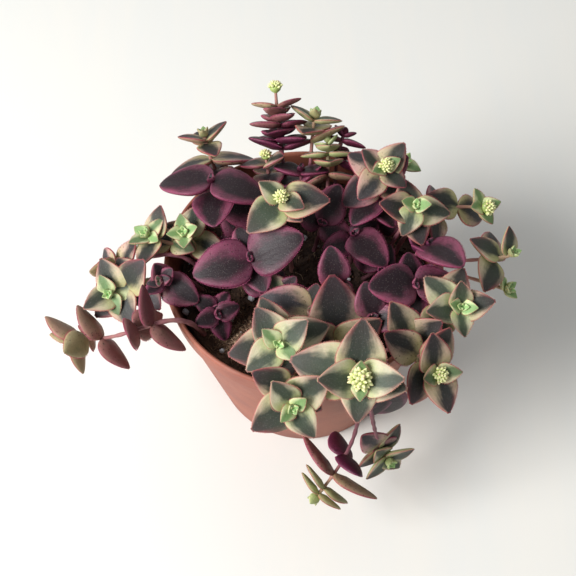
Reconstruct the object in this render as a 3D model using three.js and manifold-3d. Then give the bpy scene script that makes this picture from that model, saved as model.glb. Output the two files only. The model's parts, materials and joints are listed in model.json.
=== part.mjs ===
// A potted calico kitten crassula: a thin plastic nursery pot, its potting mix, and the leafy
// stems that grow from the mix, each one solid with its pairs of fleshy leaves and its buds.
// Millimetres, +Z up, the origin at the middle of the pot's flat underside.
import * as THREE from "three";
import { mergeVertices } from "three/addons/utils/BufferGeometryUtils.js";
import Module from "manifold-3d";

const wasm = await Module();
wasm.setup();

// The pot.
const potHeight = 96;
const rimRadius = 60;
const footRadius = 44;
const potWall = 1.7;
const potFloor = 2.4;
const rimBand = 11;
const rimStep = 1.4;
const lipRound = 0.8;
const lipWidth = 0.7;
const potSides = 32;
const drainHoles = 6;
const drainRadius = 4;
const drainCircle = 27;
const drainSides = 6;

// The pot's wall under the band: its outer radius there, and how it widens with height.
const bandBase = potHeight - rimBand;
const bodyTop = rimRadius - rimStep - 0.6;
const wallSlope = (bodyTop - footRadius) / bandBase;

// The potting mix.
const soilLevel = 82;
const soilRelief = 1.1;
const soilRings = 2;
const soilSides = 24;
const seatGap = 0.35;
const soilFoot = 1.2;
const soilShoulder = 3;

// The stems: radius at the mix and at the tip, and how deep they stand in the mix.
const stemRoot = 1.5;
const stemTip = 0.9;
const stemSides = 3;
const stemStep = 15;
const stemLean = 0.3;
const rootDepth = 8;
const routeSteps = 60;

// The leaves: width, droop, cup and thickness as shares of the length, and the clearance
// that a leaf keeps to the pieces it doesn't grow from.
const leafWidth = 0.85;
const leafDroop = 0.12;
const leafCup = 0.07;
const leafThick = 0.085;
const leafThickLeast = 1;
const petiole = 0.12;
const leafGap = 0.35;

// How fast a blade narrows towards its point when young, how much blunter it is when old, and
// how far from the tip of a stem its leaves are as old as those at the base.
const bladeTaper = 0.8;
const bladeBlunt = 0.28;
const ageReach = 26;

// Pairs nearer the tip than this face the way it points; from three times as far they stand
// along the stem.
const lightReach = 12;

// The flower buds round the end of a stem.
const budSides = 6;
const budRings = [[-0.35, 0.35], [0.25, 0.95], [0.85, 0.7]];
const budReach = 1.3;

// Each stem: where it roots on the mix, where it ends, the azimuth and elevation that its tip
// points along, how far it rises from the root and runs in to the tip, or the two handles of
// its curve, how old its leaves look at the tip and at the base, from 0 to 1, the radius of
// its cluster of buds, and its pairs of leaves from the tip down. A pair is its distance from
// the tip, its leaf length, its turn round the stem and how far each leaf opens, all in
// millimetres and degrees; null is no leaf on that side.
const stemPlan = [
  { name: "front", root: [10, -30], tip: [18.5, -65.5, 115], aim: [-92, 62], rise: [30, 32],
    age: [0.05, 0.4], head: 5.6,
    pairs: [[1.2, 9, 86, 42, 62], [2.2, 18, 178, 56, 56], [4, 23, 84, 71, null],
      [4, 17, 264, 80, null], [8, 27, 163, 88, null], [8, 20, 343, 86, null],
      [38, 22, 165, 92, null], [38, 21, 35, 80, null], [40, 29, 80, 85, null]] },
  { name: "front_left", root: [-12, -26], tip: [-11.5, -47, 110], aim: [-95, 66], rise: [25, 25],
    age: [0, 0.5],
    pairs: [[0.5, 3, 60, 25, 25], [1.5, 9.5, 136, 58, 70], [3, 16.5, 216, 82, 54],
      [4.5, 17.5, 120, 80, 84], [9, 21, 199, 84, 84], [14, 20, 290, 84, 70]] },
  { name: "front_low", root: [-16, -38], tip: [-7.2, -71.9, 105], aim: [-85, 50], rise: [50, 12],
    age: [0.1, 0.5],
    pairs: [[0.5, 4, 120, 25, 25], [1.2, 8, 40, 48, 48], [2.2, 15, 302, 72, 60],
      [5, 19, 210, 80, 68], [10, 16, 140, 70, 60]] },
  { name: "front_right", root: [38, -24], tip: [62, -33, 108], aim: [-75, 66], rise: [36, 12],
    age: [0, 0.6],
    pairs: [[0.5, 3.5, 80, 25, 25], [1, 7.5, 350, 42, 42], [1.8, 12, 95, 48, 82],
      [3.5, 15, 5, 60, 66], [6, 17, 124, 88, 76], [10, 18, 50, 80, 90]] },
  { name: "centre", root: [-4, 2], tip: [-8, 12, 125], aim: [-90, 78], rise: [25, 25],
    age: [0.1, 0.5], head: 3.8,
    pairs: [[1.5, 12, 145, 58, 58], [3, 20, 355, 75, null], [4.5, 19, 220, 84, null],
      [7, 13, 310, 62, null], [31, 8, 20, 60, 60]] },
  { name: "right", root: [32, 4], tip: [47, 9, 120], aim: [-80, 70], rise: [25, 20],
    age: [0.05, 0.8],
    pairs: [[1, 8, 350, 38, 45], [2, 13, 64, 75, 98], [6, 16, 354, 85, 60], [9, 15, 285, 75, 60]] },
  { name: "far_right", root: [40, 10], tip: [79, 17, 105], aim: [-30, 60],
    via: [[47, 12, 120], [69, 23, 98]], age: [0.2, 0.6], head: 4.2,
    pairs: [[1.5, 8.5, 350, 50, 62], [2, 9, 280, 80, 60], [12, 17, 110, 92, 100],
      [22, 16, 205, 85, 92]] },
  { name: "front_right_bud", root: [28, -38], tip: [50, -60, 104], aim: [-60, 50], rise: [52, 12],
    age: [0.2, 0.6], head: 4,
    pairs: [[1.5, 10, 2, 48, 50], [3, 17, 275, 64, 66], [7, 17, 215, 75, 70],
      [12, 17, 300, 85, 85]] },
  { name: "left", root: [-43, -4], tip: [-82, -14, 98], aim: [-120, 65],
    via: [[-51, -6, 119], [-79, -9, 88]], age: [0.05, 0.6],
    pairs: [[0.5, 4, 30, 30, 30], [1, 9.5, 295, 85, 60], [3, 14.5, 48, 92, 50],
      [5, 16, 150, 65, 78], [9, 18, 281, 80, 50], [14, 15, 15, 85, 85]] },
  { name: "upper_right", root: [22, 12], tip: [35, 22, 130], aim: [-60, 66], rise: [30, 25],
    age: [0.3, 0.9], head: 3.8,
    pairs: [[2, 8, 25, 45, 50], [4, 12, 140, 70, 75], [5.5, 15, 50, 48, 100],
      [9, 16, 318, 80, 100], [14, 17, 35, 50, 100]] },
  { name: "crown", root: [-4, 26], tip: [-8.5, 62.5, 134], aim: [92, 42], rise: [25, 25],
    age: [0.4, 1], head: 3.9,
    pairs: [[7, 11, 180, 72, 68], [9.8, 11, 72, 70, 70], [12.4, 12, 120, 74, 74],
      [15, 13, 200, 76, 80], [18.5, 14, 250, 78, 74], [21.5, 14, 140, 80, 80],
      [25, 15, 190, 86, 78]] },
  { name: "front_right_inner", root: [34, -30], tip: [41, -45, 104], aim: [-60, 60], rise: [15, 15],
    age: [0.2, 0.5],
    pairs: [[0.5, 6, 40, 20, 20], [1, 19, 122, 48, 80], [4, 17, 214, 50, 40]] },
  { name: "left_upper", root: [-38, 4], tip: [-66, 10, 106], aim: [180, 65], rise: [36, 8],
    age: [0.1, 0.7],
    pairs: [[0.5, 4, 60, 30, 30], [1, 7.5, 138, 58, 78], [2, 10, 36, 72, 44],
      [4.5, 14.5, 240, 75, 62], [12, 15, 150, 85, 100]] },
  { name: "left_inner", root: [-34, 10], tip: [-50, 9, 108], aim: [-110, 70], rise: [20, 20],
    age: [0.05, 0.7],
    pairs: [[0.5, 4, 90, 30, 30], [1, 8, 190, 48, 50], [2, 9, 275, 50, 50], [6, 15, 65, 80, 95],
      [12, 16, 150, 80, 80]] },
  { name: "left_red", root: [-38, -10], tip: [-60, -12, 104], aim: [-100, 60], rise: [20, 20],
    age: [0.7, 0.9],
    pairs: [[1, 6, 190, 60, 50], [3, 9, 40, 50, 76], [6, 17, 317, 98, 70]] },
  { name: "trailing_right", root: [20, -38], tip: [34, -72, 42], aim: [-62, 8],
    via: [[20, -88, 158], [26, -60, 39]], age: [0, 1],
    pairs: [[1, 5, 110, 30, 30], [2, 13, 20, 60, 74], [4, 12, 108, 75, 60], [9, 14, 30, 90, 90],
      [15, 15, 110, 90, 90]] },
  { name: "trailing_left", root: [8, -42], tip: [1, -86, 40], aim: [-139, -20],
    via: [[14, -74, 145], [33, -57, 58]], age: [0.1, 1],
    pairs: [[0.8, 6, 100, 40, 40], [1.5, 11.5, 10, 92, 92], [5, 13, 350, 92, 95],
      [12.7, 21, 12, 98, 92], [24, 15, 60, 90, 90]] },
  { name: "over_rim", root: [24, -44], tip: [27, -64.5, 99], aim: [-80, 8], rise: [72, 8],
    age: [0.85, 1],
    pairs: [[0.5, 20, 293, 50, null], [1, 16, 246, 51, null], [6, 12, 90, 70, null]] },
  { name: "back_left", root: [-22, 26], tip: [-41, 56, 115], aim: [105, 55], rise: [20, 30],
    age: [0.3, 0.7],
    pairs: [[1, 5, 90, 35, 35], [3, 12.5, 17, 55, 60], [4.5, 13, 290, 95, 70],
      [12, 20, 190, 92, 98], [17, 18, 280, 90, 90]] },
  { name: "crown_side", root: [4, 28], tip: [8, 55, 125], aim: [75, 50], rise: [20, 25],
    age: [0.1, 0.9],
    pairs: [[0.8, 6, 80, 35, 35], [2, 12, 170, 68, 75], [6, 15, 70, 80, 90],
      [11, 16, 160, 85, 85]] },
  { name: "back_green", root: [10, 22], tip: [13, 46, 118], aim: [90, 40], rise: [20, 25],
    age: [0, 0.9],
    pairs: [[1, 6, 0, 40, 40], [3, 12, 90, 75, 75], [5, 12, 0, 85, 85], [9, 15, 270, 80, 90],
      [14, 15, 0, 85, 90]] },
  { name: "back_bud", root: [-10, 18], tip: [-14, 44, 112], aim: [100, 60], rise: [15, 20],
    age: [0.5, 0.9], head: 3.4,
    pairs: [[3, 12, 170, 85, 70], [8, 16, 270, 85, 90], [14, 18, 180, 90, 90]] },
  { name: "back_red", root: [17, 28], tip: [20.5, 51, 117], aim: [60, 40], rise: [20, 20],
    age: [0.9, 1],
    pairs: [[1, 6, 0, 50, 50], [3, 11, 0, 80, 80], [6, 12, 90, 85, 85], [12, 15, 0, 90, 90]] },
  { name: "upper_right_side", root: [30, 24], tip: [46, 38, 112], aim: [-20, 60], rise: [20, 15],
    age: [0.1, 0.6],
    pairs: [[0.5, 5, 70, 35, 35], [1.2, 8.5, 330, 60, 60], [5, 12, 60, 80, 80]] },
  { name: "far_right_low", root: [44, -8], tip: [88, -4, 100], aim: [0, 55],
    via: [[50, -9, 118], [81, -4, 90]], age: [0.1, 0.6],
    pairs: [[0.5, 5, 20, 40, 40], [2, 12.5, 112, 50, 68], [5.6, 15, 160, 92, 72],
      [9, 17, 262, 92, 90]] },
  { name: "far_right_small", root: [46, -14], tip: [87, -14, 88], aim: [-20, 45],
    via: [[49, -15, 127], [78, -10, 83]], age: [0.1, 0.5],
    pairs: [[0.5, 5, 20, 40, 40], [1.5, 7, 110, 60, 60], [5, 11, 264, 105, 70]] },
  { name: "left_side", root: [-42, 2], tip: [-82, 1, 95], aim: [205, 35],
    via: [[-48, 3, 122], [-73, 5, 88]], age: [0.4, 0.8],
    pairs: [[1, 13, 320, 45, 88], [4, 14, 50, 85, 50]] },
  { name: "trailing_far_left", root: [-42, -26], tip: [-101, -25, 84], aim: [195, -25],
    via: [[-50, -30, 131], [-72, -38, 90]], age: [0.25, 0.6],
    pairs: [[1, 9, 240, 40, 50], [4, 16, 278, 55, 60], [9, 15, 10, 70, 65],
      [17.5, 17, 280, 92, 98], [36, 16, 10, 100, 105], [44, 17, 275, 92, 115]] },
  { name: "inner_back_left", root: [-28, 18], tip: [-37, 26, 120], aim: [120, 70], rise: [15, 15],
    age: [0.9, 1],
    pairs: [[0.5, 24, 345, 108, 84], [6, 22, 270, 86, 100]] },
  { name: "inner_left", root: [-18, 4], tip: [-22, -4, 106], aim: [-110, 70], rise: [10, 10],
    age: [0.9, 1],
    pairs: [[0.5, 25, 194, 78, 66], [6, 16, 110, 60, 66]] },
  { name: "inner_front", root: [13, -6], tip: [13, -15, 101], aim: [-90, 60], rise: [8, 8],
    age: [0.8, 1],
    pairs: [[0.5, 16, 97, 68, 50], [3, 8, 160, 60, 60]] },
  { name: "inner_right", root: [38, -12], tip: [45, -20, 105], aim: [-60, 70], rise: [10, 10],
    age: [0.9, 1],
    pairs: [[0.5, 21, 185, 72, 50], [6, 15, 95, 66, 50]] },
  { name: "inner_far_right", root: [44, 2], tip: [52, -1, 106], aim: [-10, 60], rise: [10, 10],
    age: [0.9, 1],
    pairs: [[0.5, 22, 316, 75, 55], [6, 16, 266, 70, 50]] },
  { name: "inner_centre", root: [20, 6], tip: [22, 7, 104], aim: [-60, 75], rise: [8, 8],
    age: [0.9, 1],
    pairs: [[0.5, 20, 308, 82, null], [5, 13, 30, 70, null], [7, 14, 200, 80, null]] },
  { name: "inner_back_right", root: [27, 18], tip: [33, 20, 112], aim: [60, 70], rise: [10, 10],
    age: [0.9, 1],
    pairs: [[0.5, 17, 204, 110, 60], [5, 14, 300, 90, 70]] },
  { name: "inner_back", root: [-1, 34], tip: [1, 37, 110], aim: [90, 60], rise: [10, 10],
    age: [0.9, 1],
    pairs: [[0.5, 17, 345, 105, 75], [5, 17, 180, 85, 70]] },
  { name: "inner_small", root: [-10, -12], tip: [-9, -15, 97], aim: [-90, 60], rise: [6, 6],
    age: [0.6, 0.8],
    pairs: [[0.5, 10, 150, 75, 60], [2, 9, 45, 55, 50]] },
  { name: "soil_left", root: [-35, -20], tip: [-37, -23, 93], aim: [-60, 60], rise: [6, 6],
    age: [0.9, 1],
    pairs: [[0.5, 10, 20, 75, 80], [3, 11, 105, 80, 80]] },
  { name: "inner_left_front", root: [-24, -6], tip: [-16, -15, 97], aim: [-90, 60], rise: [6, 6],
    age: [0.9, 1],
    pairs: [[0.5, 5, 20, 30, 30], [2.4, 20, 105, 72, null], [3, 12, 15, 80, null]] },
  { name: "inner_front_left", root: [-2, -20], tip: [2, -26, 98], aim: [-90, 60], rise: [6, 6],
    age: [0.6, 0.8],
    pairs: [[0.5, 22, 164, 85, null], [2, 12, 75, 70, null]] },
  { name: "inner_middle", root: [24, 0], tip: [33, -7, 98], aim: [-90, 60], rise: [6, 6],
    age: [0.9, 1],
    pairs: [[0.5, 19, 123, 80, null], [1.5, 11, 68, 75, null]] },
  { name: "inner_right_back", root: [38, 2], tip: [52, -9, 100], aim: [-90, 60], rise: [6, 6],
    age: [0.9, 1],
    pairs: [[0.5, 15, 112, 82, null], [2, 12, 200, 70, null]] },
  { name: "inner_front_right", root: [20, -22], tip: [27, -30, 98], aim: [-90, 60], rise: [6, 6],
    age: [0.8, 1],
    pairs: [[0.6, 15, 100, 70, null], [2, 14, 352, 60, null]] },
  { name: "inner_left_back", root: [-18, 14], tip: [-17, 22, 104], aim: [-90, 60], rise: [6, 6],
    age: [0.8, 1],
    pairs: [[1.3, 21, 150, 70, null], [2.8, 15, 268, 80, null]] },
  { name: "inner_middle_back", root: [4, 14], tip: [9, 15, 102], aim: [-90, 60], rise: [6, 6],
    age: [0.9, 1],
    pairs: [[0.5, 18, 63, 70, null], [2.4, 15, 140, 60, null], [2.6, 15, 330, 70, null]] },
  { name: "inner_right_side", root: [30, 10], tip: [40, 20, 108], aim: [-90, 60], rise: [6, 6],
    age: [0.8, 1],
    pairs: [[0.3, 22, 193, 93, null], [3.5, 14, 244, 105, null]] },
  { name: "soil_far_left", root: [-40, -14], tip: [-38, -20, 92], aim: [-90, 60], rise: [6, 6],
    age: [0.9, 1],
    pairs: [[0.5, 10, 148, 75, null], [1, 9, 50, 70, null]] },
  { name: "inner_left_side", root: [-30, 8], tip: [-28, 14, 98], aim: [-90, 60], rise: [6, 6],
    age: [0.9, 1],
    pairs: [[0.5, 16, 118, 72, null], [2.9, 13, 10, 70, null], [3, 13, 230, 90, null]] },
];

// A leaf that would cross another piece is tilted, swung aside or shortened by the first of
// these that clears it, the least change first.
const bends = [];
for (const size of [1, 0.86, 0.72]) {
  for (const tilt of [0, -9, 9, -18, 18, -27, 27, -36, 36, -45, 45]) {
    for (const swing of [0, -10, 10, -20, 20, -30, 30]) {
      bends.push({ size, tilt, swing, cost: Math.abs(tilt) + 1.2 * Math.abs(swing) + 150 * (1 - size) });
    }
  }
}
bends.sort((a, b) => a.cost - b.cost);

const radians = THREE.MathUtils.degToRad;

function direction(azimuth, elevation) {
  const a = radians(azimuth);
  const e = radians(elevation);
  return new THREE.Vector3(Math.cos(e) * Math.cos(a), Math.cos(e) * Math.sin(a), Math.sin(e));
}

// A closed solid from a position list and its triangles.
function solidOf(positions, triangles) {
  return new wasm.Manifold(new wasm.Mesh({
    numProp: 3,
    vertProperties: new Float32Array(positions),
    triVerts: new Uint32Array(triangles),
  }));
}

// A closed three.js geometry as a solid, with its shared corners merged.
function solidFrom(geometry) {
  geometry.deleteAttribute("normal");
  geometry.deleteAttribute("uv");
  const merged = mergeVertices(geometry, 1e-4);
  const triangles = [];
  const index = merged.index.array;
  for (let i = 0; i < index.length; i += 3) {
    const [a, b, c] = [index[i], index[i + 1], index[i + 2]];
    if (a !== b && b !== c && c !== a) {
      triangles.push(a, b, c);
    }
  }
  return solidOf(merged.attributes.position.array, triangles);
}

// The geometry of a solid's outer skin: the largest connected set of triangles, so that a
// hollow sealed between fused leaves is filled and a loose scrap is dropped.
function geometryOf(solid) {
  const mesh = solid.getMesh();
  const points = mesh.vertProperties;
  const corners = mesh.triVerts;
  const parent = Array.from({ length: points.length / 3 }, (_, i) => i);
  const find = (i) => {
    let top = i;
    while (parent[top] !== top) {
      parent[top] = parent[parent[top]];
      top = parent[top];
    }
    return top;
  };
  for (let i = 0; i < corners.length; i += 3) {
    parent[find(corners[i])] = find(corners[i + 1]);
    parent[find(corners[i + 1])] = find(corners[i + 2]);
  }
  const volumes = new Map();
  const corner = (i) => new THREE.Vector3().fromArray(points, 3 * corners[i]);
  for (let i = 0; i < corners.length; i += 3) {
    const skin = find(corners[i]);
    const part = corner(i).dot(corner(i + 1).cross(corner(i + 2)));
    volumes.set(skin, (volumes.get(skin) || 0) + part);
  }
  const [outer] = [...volumes].sort((a, b) => b[1] - a[1])[0];
  const index = [];
  for (let i = 0; i < corners.length; i += 3) {
    if (find(corners[i]) === outer) {
      index.push(corners[i], corners[i + 1], corners[i + 2]);
    }
  }
  const whole = new THREE.BufferGeometry();
  whole.setAttribute("position", new THREE.BufferAttribute(new Float32Array(points), 3));
  whole.setIndex(index);
  const geometry = mergeVertices(whole, 1e-6);
  geometry.computeVertexNormals();
  return geometry;
}

// A skin over rings of as many points each, which run anticlockwise as seen from the end that
// the rings lead to; it ends in a point at apex, or flat where there is none.
function loft(rings, apex) {
  const sides = rings[0].length;
  const positions = rings.flat().flatMap((p) => [p.x, p.y, p.z]);
  const triangles = [];
  for (let i = 2; i < sides; i += 1) {
    triangles.push(0, i, i - 1);
  }
  for (let r = 1; r < rings.length; r += 1) {
    for (let i = 0; i < sides; i += 1) {
      const low = (r - 1) * sides;
      const next = (i + 1) % sides;
      triangles.push(low + i, low + next, low + sides + next);
      triangles.push(low + i, low + sides + next, low + sides + i);
    }
  }
  const last = (rings.length - 1) * sides;
  if (apex) {
    const point = positions.length / 3;
    positions.push(apex.x, apex.y, apex.z);
    for (let i = 0; i < sides; i += 1) {
      triangles.push(last + i, last + ((i + 1) % sides), point);
    }
  } else {
    for (let i = 2; i < sides; i += 1) {
      triangles.push(last, last + i - 1, last + i);
    }
  }
  return solidOf(positions, triangles);
}

// The stem's middle line: points along a cubic Bezier curve, their distance from the root, the
// way the stem heads there, and one side of it, carried back from the tip without a twist.
function routeOf(plan) {
  const root = new THREE.Vector3(plan.root[0], plan.root[1], soilLevel - rootDepth);
  const tip = new THREE.Vector3(...plan.tip);
  const aim = direction(...plan.aim);
  const lean = new THREE.Vector3(tip.x - root.x, tip.y - root.y, 0).normalize();
  let first = root.clone().addScaledVector(
    new THREE.Vector3(stemLean * lean.x, stemLean * lean.y, 1).normalize(), plan.rise ? plan.rise[0] : 0);
  let second = tip.clone().addScaledVector(aim, plan.rise ? -plan.rise[1] : 0);
  if (plan.via) {
    first = new THREE.Vector3(...plan.via[0]);
    second = new THREE.Vector3(...plan.via[1]);
  }
  const curve = new THREE.CubicBezierCurve3(root, first, second, tip);
  const points = [];
  const distances = [0];
  for (let i = 0; i <= routeSteps; i += 1) {
    points.push(curve.getPoint(i / routeSteps));
    if (i > 0) {
      distances.push(distances[i - 1] + points[i].distanceTo(points[i - 1]));
    }
  }
  const heads = points.map((p, i) => {
    const next = points[Math.min(i + 1, routeSteps)];
    const before = points[Math.max(i - 1, 0)];
    return next.clone().sub(before).normalize();
  });
  const sides = [];
  let side = new THREE.Vector3(1, 0, 0);
  for (let i = routeSteps; i >= 0; i -= 1) {
    side = side.clone().addScaledVector(heads[i], -side.dot(heads[i])).normalize();
    sides[i] = side;
  }
  return { points, distances, heads, sides, length: distances[routeSteps] };
}

// The place on the route at a distance back from the tip.
function placeOn(route, back) {
  const along = THREE.MathUtils.clamp(route.length - back, 0, route.length);
  let i = 0;
  while (i < routeSteps - 1 && route.distances[i + 1] <= along) {
    i += 1;
  }
  const share = (along - route.distances[i]) / (route.distances[i + 1] - route.distances[i]);
  const mix = (list) => list[i].clone().lerp(list[i + 1], share);
  const point = mix(route.points);
  const head = mix(route.heads).normalize();
  const side = mix(route.sides).normalize();
  const across = new THREE.Vector3().crossVectors(head, side);
  return { point, head, side, across };
}

// The stem's rings, from its root to its tip, as a tapered tube with few sides.
function stemRings(route, grow) {
  const count = Math.round(route.length / stemStep);
  const rings = [];
  for (let i = 0; i <= count; i += 1) {
    const spot = placeOn(route, route.length * (1 - i / count));
    const radius = THREE.MathUtils.lerp(stemRoot, stemTip, i / count) + grow;
    const ring = [];
    for (let k = 0; k < stemSides; k += 1) {
      const angle = (2 * Math.PI * k) / stemSides;
      ring.push(spot.point.clone()
        .addScaledVector(spot.side, radius * Math.cos(angle))
        .addScaledVector(spot.across, radius * Math.sin(angle)));
    }
    rings.push(ring);
  }
  return rings;
}

// What a stem's hole takes out of the mix: its lowest stretch, swelled, and a little deeper.
function stemHole(route) {
  const rings = stemRings(route, seatGap / Math.cos(Math.PI / stemSides)).slice(0, 2);
  rings[0] = rings[0].map((p) => p.clone().addScaledVector(route.heads[0], -seatGap));
  return loft(rings);
}

// The blade's half width as a share of its greatest, from the base (0) to the point (1).
function bladeShape(u, age) {
  return Math.max(petiole, Math.sin(Math.PI * u ** 0.64) ** (bladeTaper - bladeBlunt * age));
}

// Where the blade's rings lie: fewer on a small leaf.
function bladeRings(length) {
  if (length < 9) {
    return [0.02, 0.36];
  }
  return length < 20 ? [0.02, 0.26, 0.7] : [0.02, 0.18, 0.48, 0.82];
}

// One leaf as three-cornered rings (an edge, the underside's midline and the other edge) that
// end in a point. grow swells it on every side.
function leafSolid(leaf, bend, grow) {
  const length = leaf.length * bend.size;
  const width = length * leafWidth;
  const thick = leafThickLeast + leafThick * length;
  const tilt = radians(bend.tilt);
  const swing = radians(bend.swing);
  const rise = leaf.normal.clone().multiplyScalar(Math.cos(tilt))
    .addScaledVector(leaf.axis, -Math.sin(tilt));
  const raised = leaf.axis.clone().multiplyScalar(Math.cos(tilt))
    .addScaledVector(leaf.normal, Math.sin(tilt));
  const beside = new THREE.Vector3().crossVectors(raised, rise);
  const out = raised.clone().multiplyScalar(Math.cos(swing)).addScaledVector(beside, Math.sin(swing));
  const wide = new THREE.Vector3().crossVectors(out, rise);
  const at = (x, y, z) => leaf.base.clone()
    .addScaledVector(out, x).addScaledVector(wide, y).addScaledVector(rise, z);
  const rings = bladeRings(leaf.length).map((u) => {
    const x = length * u - grow * (1 - 2 * u);
    const z = -leafDroop * length * u * u;
    const half = 0.5 * width * bladeShape(u, leaf.age) + grow;
    const edge = z + leafCup * width * bladeShape(u, leaf.age);
    const body = thick * Math.min(1, 0.5 + 2 * u) * Math.sqrt(1 - u ** 2.5);
    return [at(x, half, edge + grow), at(x, 0, z - body - grow), at(x, -half, edge + grow)];
  });
  return loft(rings, at(length + grow, 0, -leafDroop * length));
}

// The leaves that the plan gives a stem. Near the tip the pairs face the way the tip does,
// towards the light, and further back they stand along the stem.
function leavesOf(plan, route) {
  const leaves = [];
  for (const [distance, length, turned, openA, openB] of plan.pairs) {
    const spot = placeOn(route, distance);
    const old = THREE.MathUtils.smoothstep(distance, lightReach, 3 * lightReach);
    const head = direction(...plan.aim).lerp(spot.head, old).normalize();
    const across = new THREE.Vector3().crossVectors(head, spot.side).normalize();
    const beside = new THREE.Vector3().crossVectors(across, head);
    const age = THREE.MathUtils.lerp(...plan.age, THREE.MathUtils.smoothstep(distance, 0, ageReach));
    for (const side of [1, -1]) {
      const open = side > 0 ? openA : openB;
      if (open !== null) {
        const outward = beside.clone().multiplyScalar(side * Math.cos(radians(turned)))
          .addScaledVector(across, side * Math.sin(radians(turned)));
        const axis = outward.clone().multiplyScalar(Math.sin(radians(open)))
          .addScaledVector(head, Math.cos(radians(open)));
        const normal = head.clone().multiplyScalar(Math.sin(radians(open)))
          .addScaledVector(outward, -Math.cos(radians(open)));
        leaves.push({ base: spot.point, axis, normal, length, age });
      }
    }
  }
  return leaves;
}

// The cluster of flower buds as one many-sided head round the end of the stem: each ring is
// its height above the tip and its radius, as shares of the cluster's radius.
function budCluster(route, radius) {
  const tip = placeOn(route, 0);
  const rings = budRings.map(([height, spread]) => {
    const middle = tip.point.clone().addScaledVector(tip.head, height * radius);
    return Array.from({ length: budSides }, (_, k) => {
      const angle = (2 * Math.PI * k) / budSides;
      return middle.clone()
        .addScaledVector(tip.side, spread * radius * Math.cos(angle))
        .addScaledVector(tip.across, spread * radius * Math.sin(angle));
    });
  });
  return loft(rings, tip.point.clone().addScaledVector(tip.head, budReach * radius));
}

function boxOf(solid) {
  const bounds = solid.boundingBox();
  return new THREE.Box3(new THREE.Vector3(...bounds.min), new THREE.Vector3(...bounds.max));
}

// The pieces placed so far, each with its owner's name, so that a leaf can be bent clear.
const placed = [];

function place(owner, solid) {
  placed.push({ owner, solid, box: boxOf(solid) });
}

function crosses(owner, solid) {
  const box = boxOf(solid);
  return placed.some((piece) => piece.owner !== owner && piece.box.intersectsBox(box)
    && !piece.solid.intersect(solid).isEmpty());
}

// The pot: a tapered wall under a wider rim band, a rounded lip, a flat floor and drain holes.
function potSolid() {
  const inside = (z) => footRadius + wallSlope * z - potWall;
  const lipOuter = rimRadius - lipRound;
  const lipInner = lipOuter - lipWidth;
  const profile = [
    [0, 0], [footRadius - 1, 0], [footRadius, 1], [bodyTop, bandBase], [lipOuter, bandBase + 0.6],
    [rimRadius, potHeight - lipRound], [lipOuter, potHeight], [lipInner, potHeight],
    [lipInner - 0.7, potHeight - lipRound], [inside(bandBase), bandBase - 1],
    [inside(potFloor), potFloor], [0, potFloor],
  ].map(([x, y]) => new THREE.Vector2(x, y));
  const shell = new THREE.LatheGeometry(profile, potSides);
  shell.rotateX(Math.PI / 2);
  let pot = solidFrom(shell);
  for (let i = 0; i < drainHoles; i += 1) {
    const hole = new THREE.CylinderGeometry(drainRadius, drainRadius, 4 * potFloor, drainSides);
    hole.rotateX(Math.PI / 2);
    const angle = (2 * Math.PI * i) / drainHoles;
    hole.translate(drainCircle * Math.cos(angle), drainCircle * Math.sin(angle), 0);
    pot = pot.subtract(solidFrom(hole));
  }
  return pot;
}

// The mix's top: slow swells that fade out at the wall.
function soilHeight(x, y) {
  const swell = Math.sin(0.17 * x + 0.6) * Math.cos(0.15 * y) + 0.6 * Math.sin(0.31 * x - 0.27 * y + 1.1);
  return soilLevel + soilRelief * swell;
}

// The mix fills the pot from its floor, with a plain hole for each stem.
function soilSolid(routes) {
  const inside = (z) => footRadius + wallSlope * z - potWall - seatGap;
  const low = potFloor + seatGap;
  const shoulder = soilLevel - soilShoulder;
  const profile = [[0, low], [inside(low) - soilFoot, low], [inside(low + soilFoot), low + soilFoot],
    [inside(shoulder), shoulder]].map(([x, y]) => new THREE.Vector2(x, y));
  const topRadius = inside(soilLevel - 0.5 * soilShoulder);
  for (let i = soilRings; i >= 0; i -= 1) {
    profile.push(new THREE.Vector2((topRadius * i) / soilRings, soilLevel));
  }
  const body = new THREE.LatheGeometry(profile, soilSides);
  body.rotateX(Math.PI / 2);
  const spots = body.attributes.position;
  for (let i = 0; i < spots.count; i += 1) {
    if (spots.getZ(i) > soilLevel - 0.5) {
      spots.setZ(i, soilHeight(spots.getX(i), spots.getY(i)));
    }
  }
  let soil = solidFrom(body);
  for (const route of routes) {
    soil = soil.subtract(stemHole(route));
  }
  return soil;
}

// Colours: the young blade's grey green, the old blade's purple, terracotta plastic and peat.
const young = new THREE.Color("#76846a");
const old = new THREE.Color("#6e3347");
const matte = (color, roughness) => new THREE.MeshStandardMaterial({ color, roughness, metalness: 0 });

const routes = stemPlan.map(routeOf);
const model = new THREE.Group();

const pot = potSolid();
place("pot", pot);
const potMesh = new THREE.Mesh(geometryOf(pot), matte("#b0705c", 0.55));
potMesh.name = "pot";
model.add(potMesh);

const soil = soilSolid(routes);
place("soil", soil);
const soilMesh = new THREE.Mesh(geometryOf(soil), matte("#2b211d", 0.95));
soilMesh.name = "potting_mix";
model.add(soilMesh);

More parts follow.
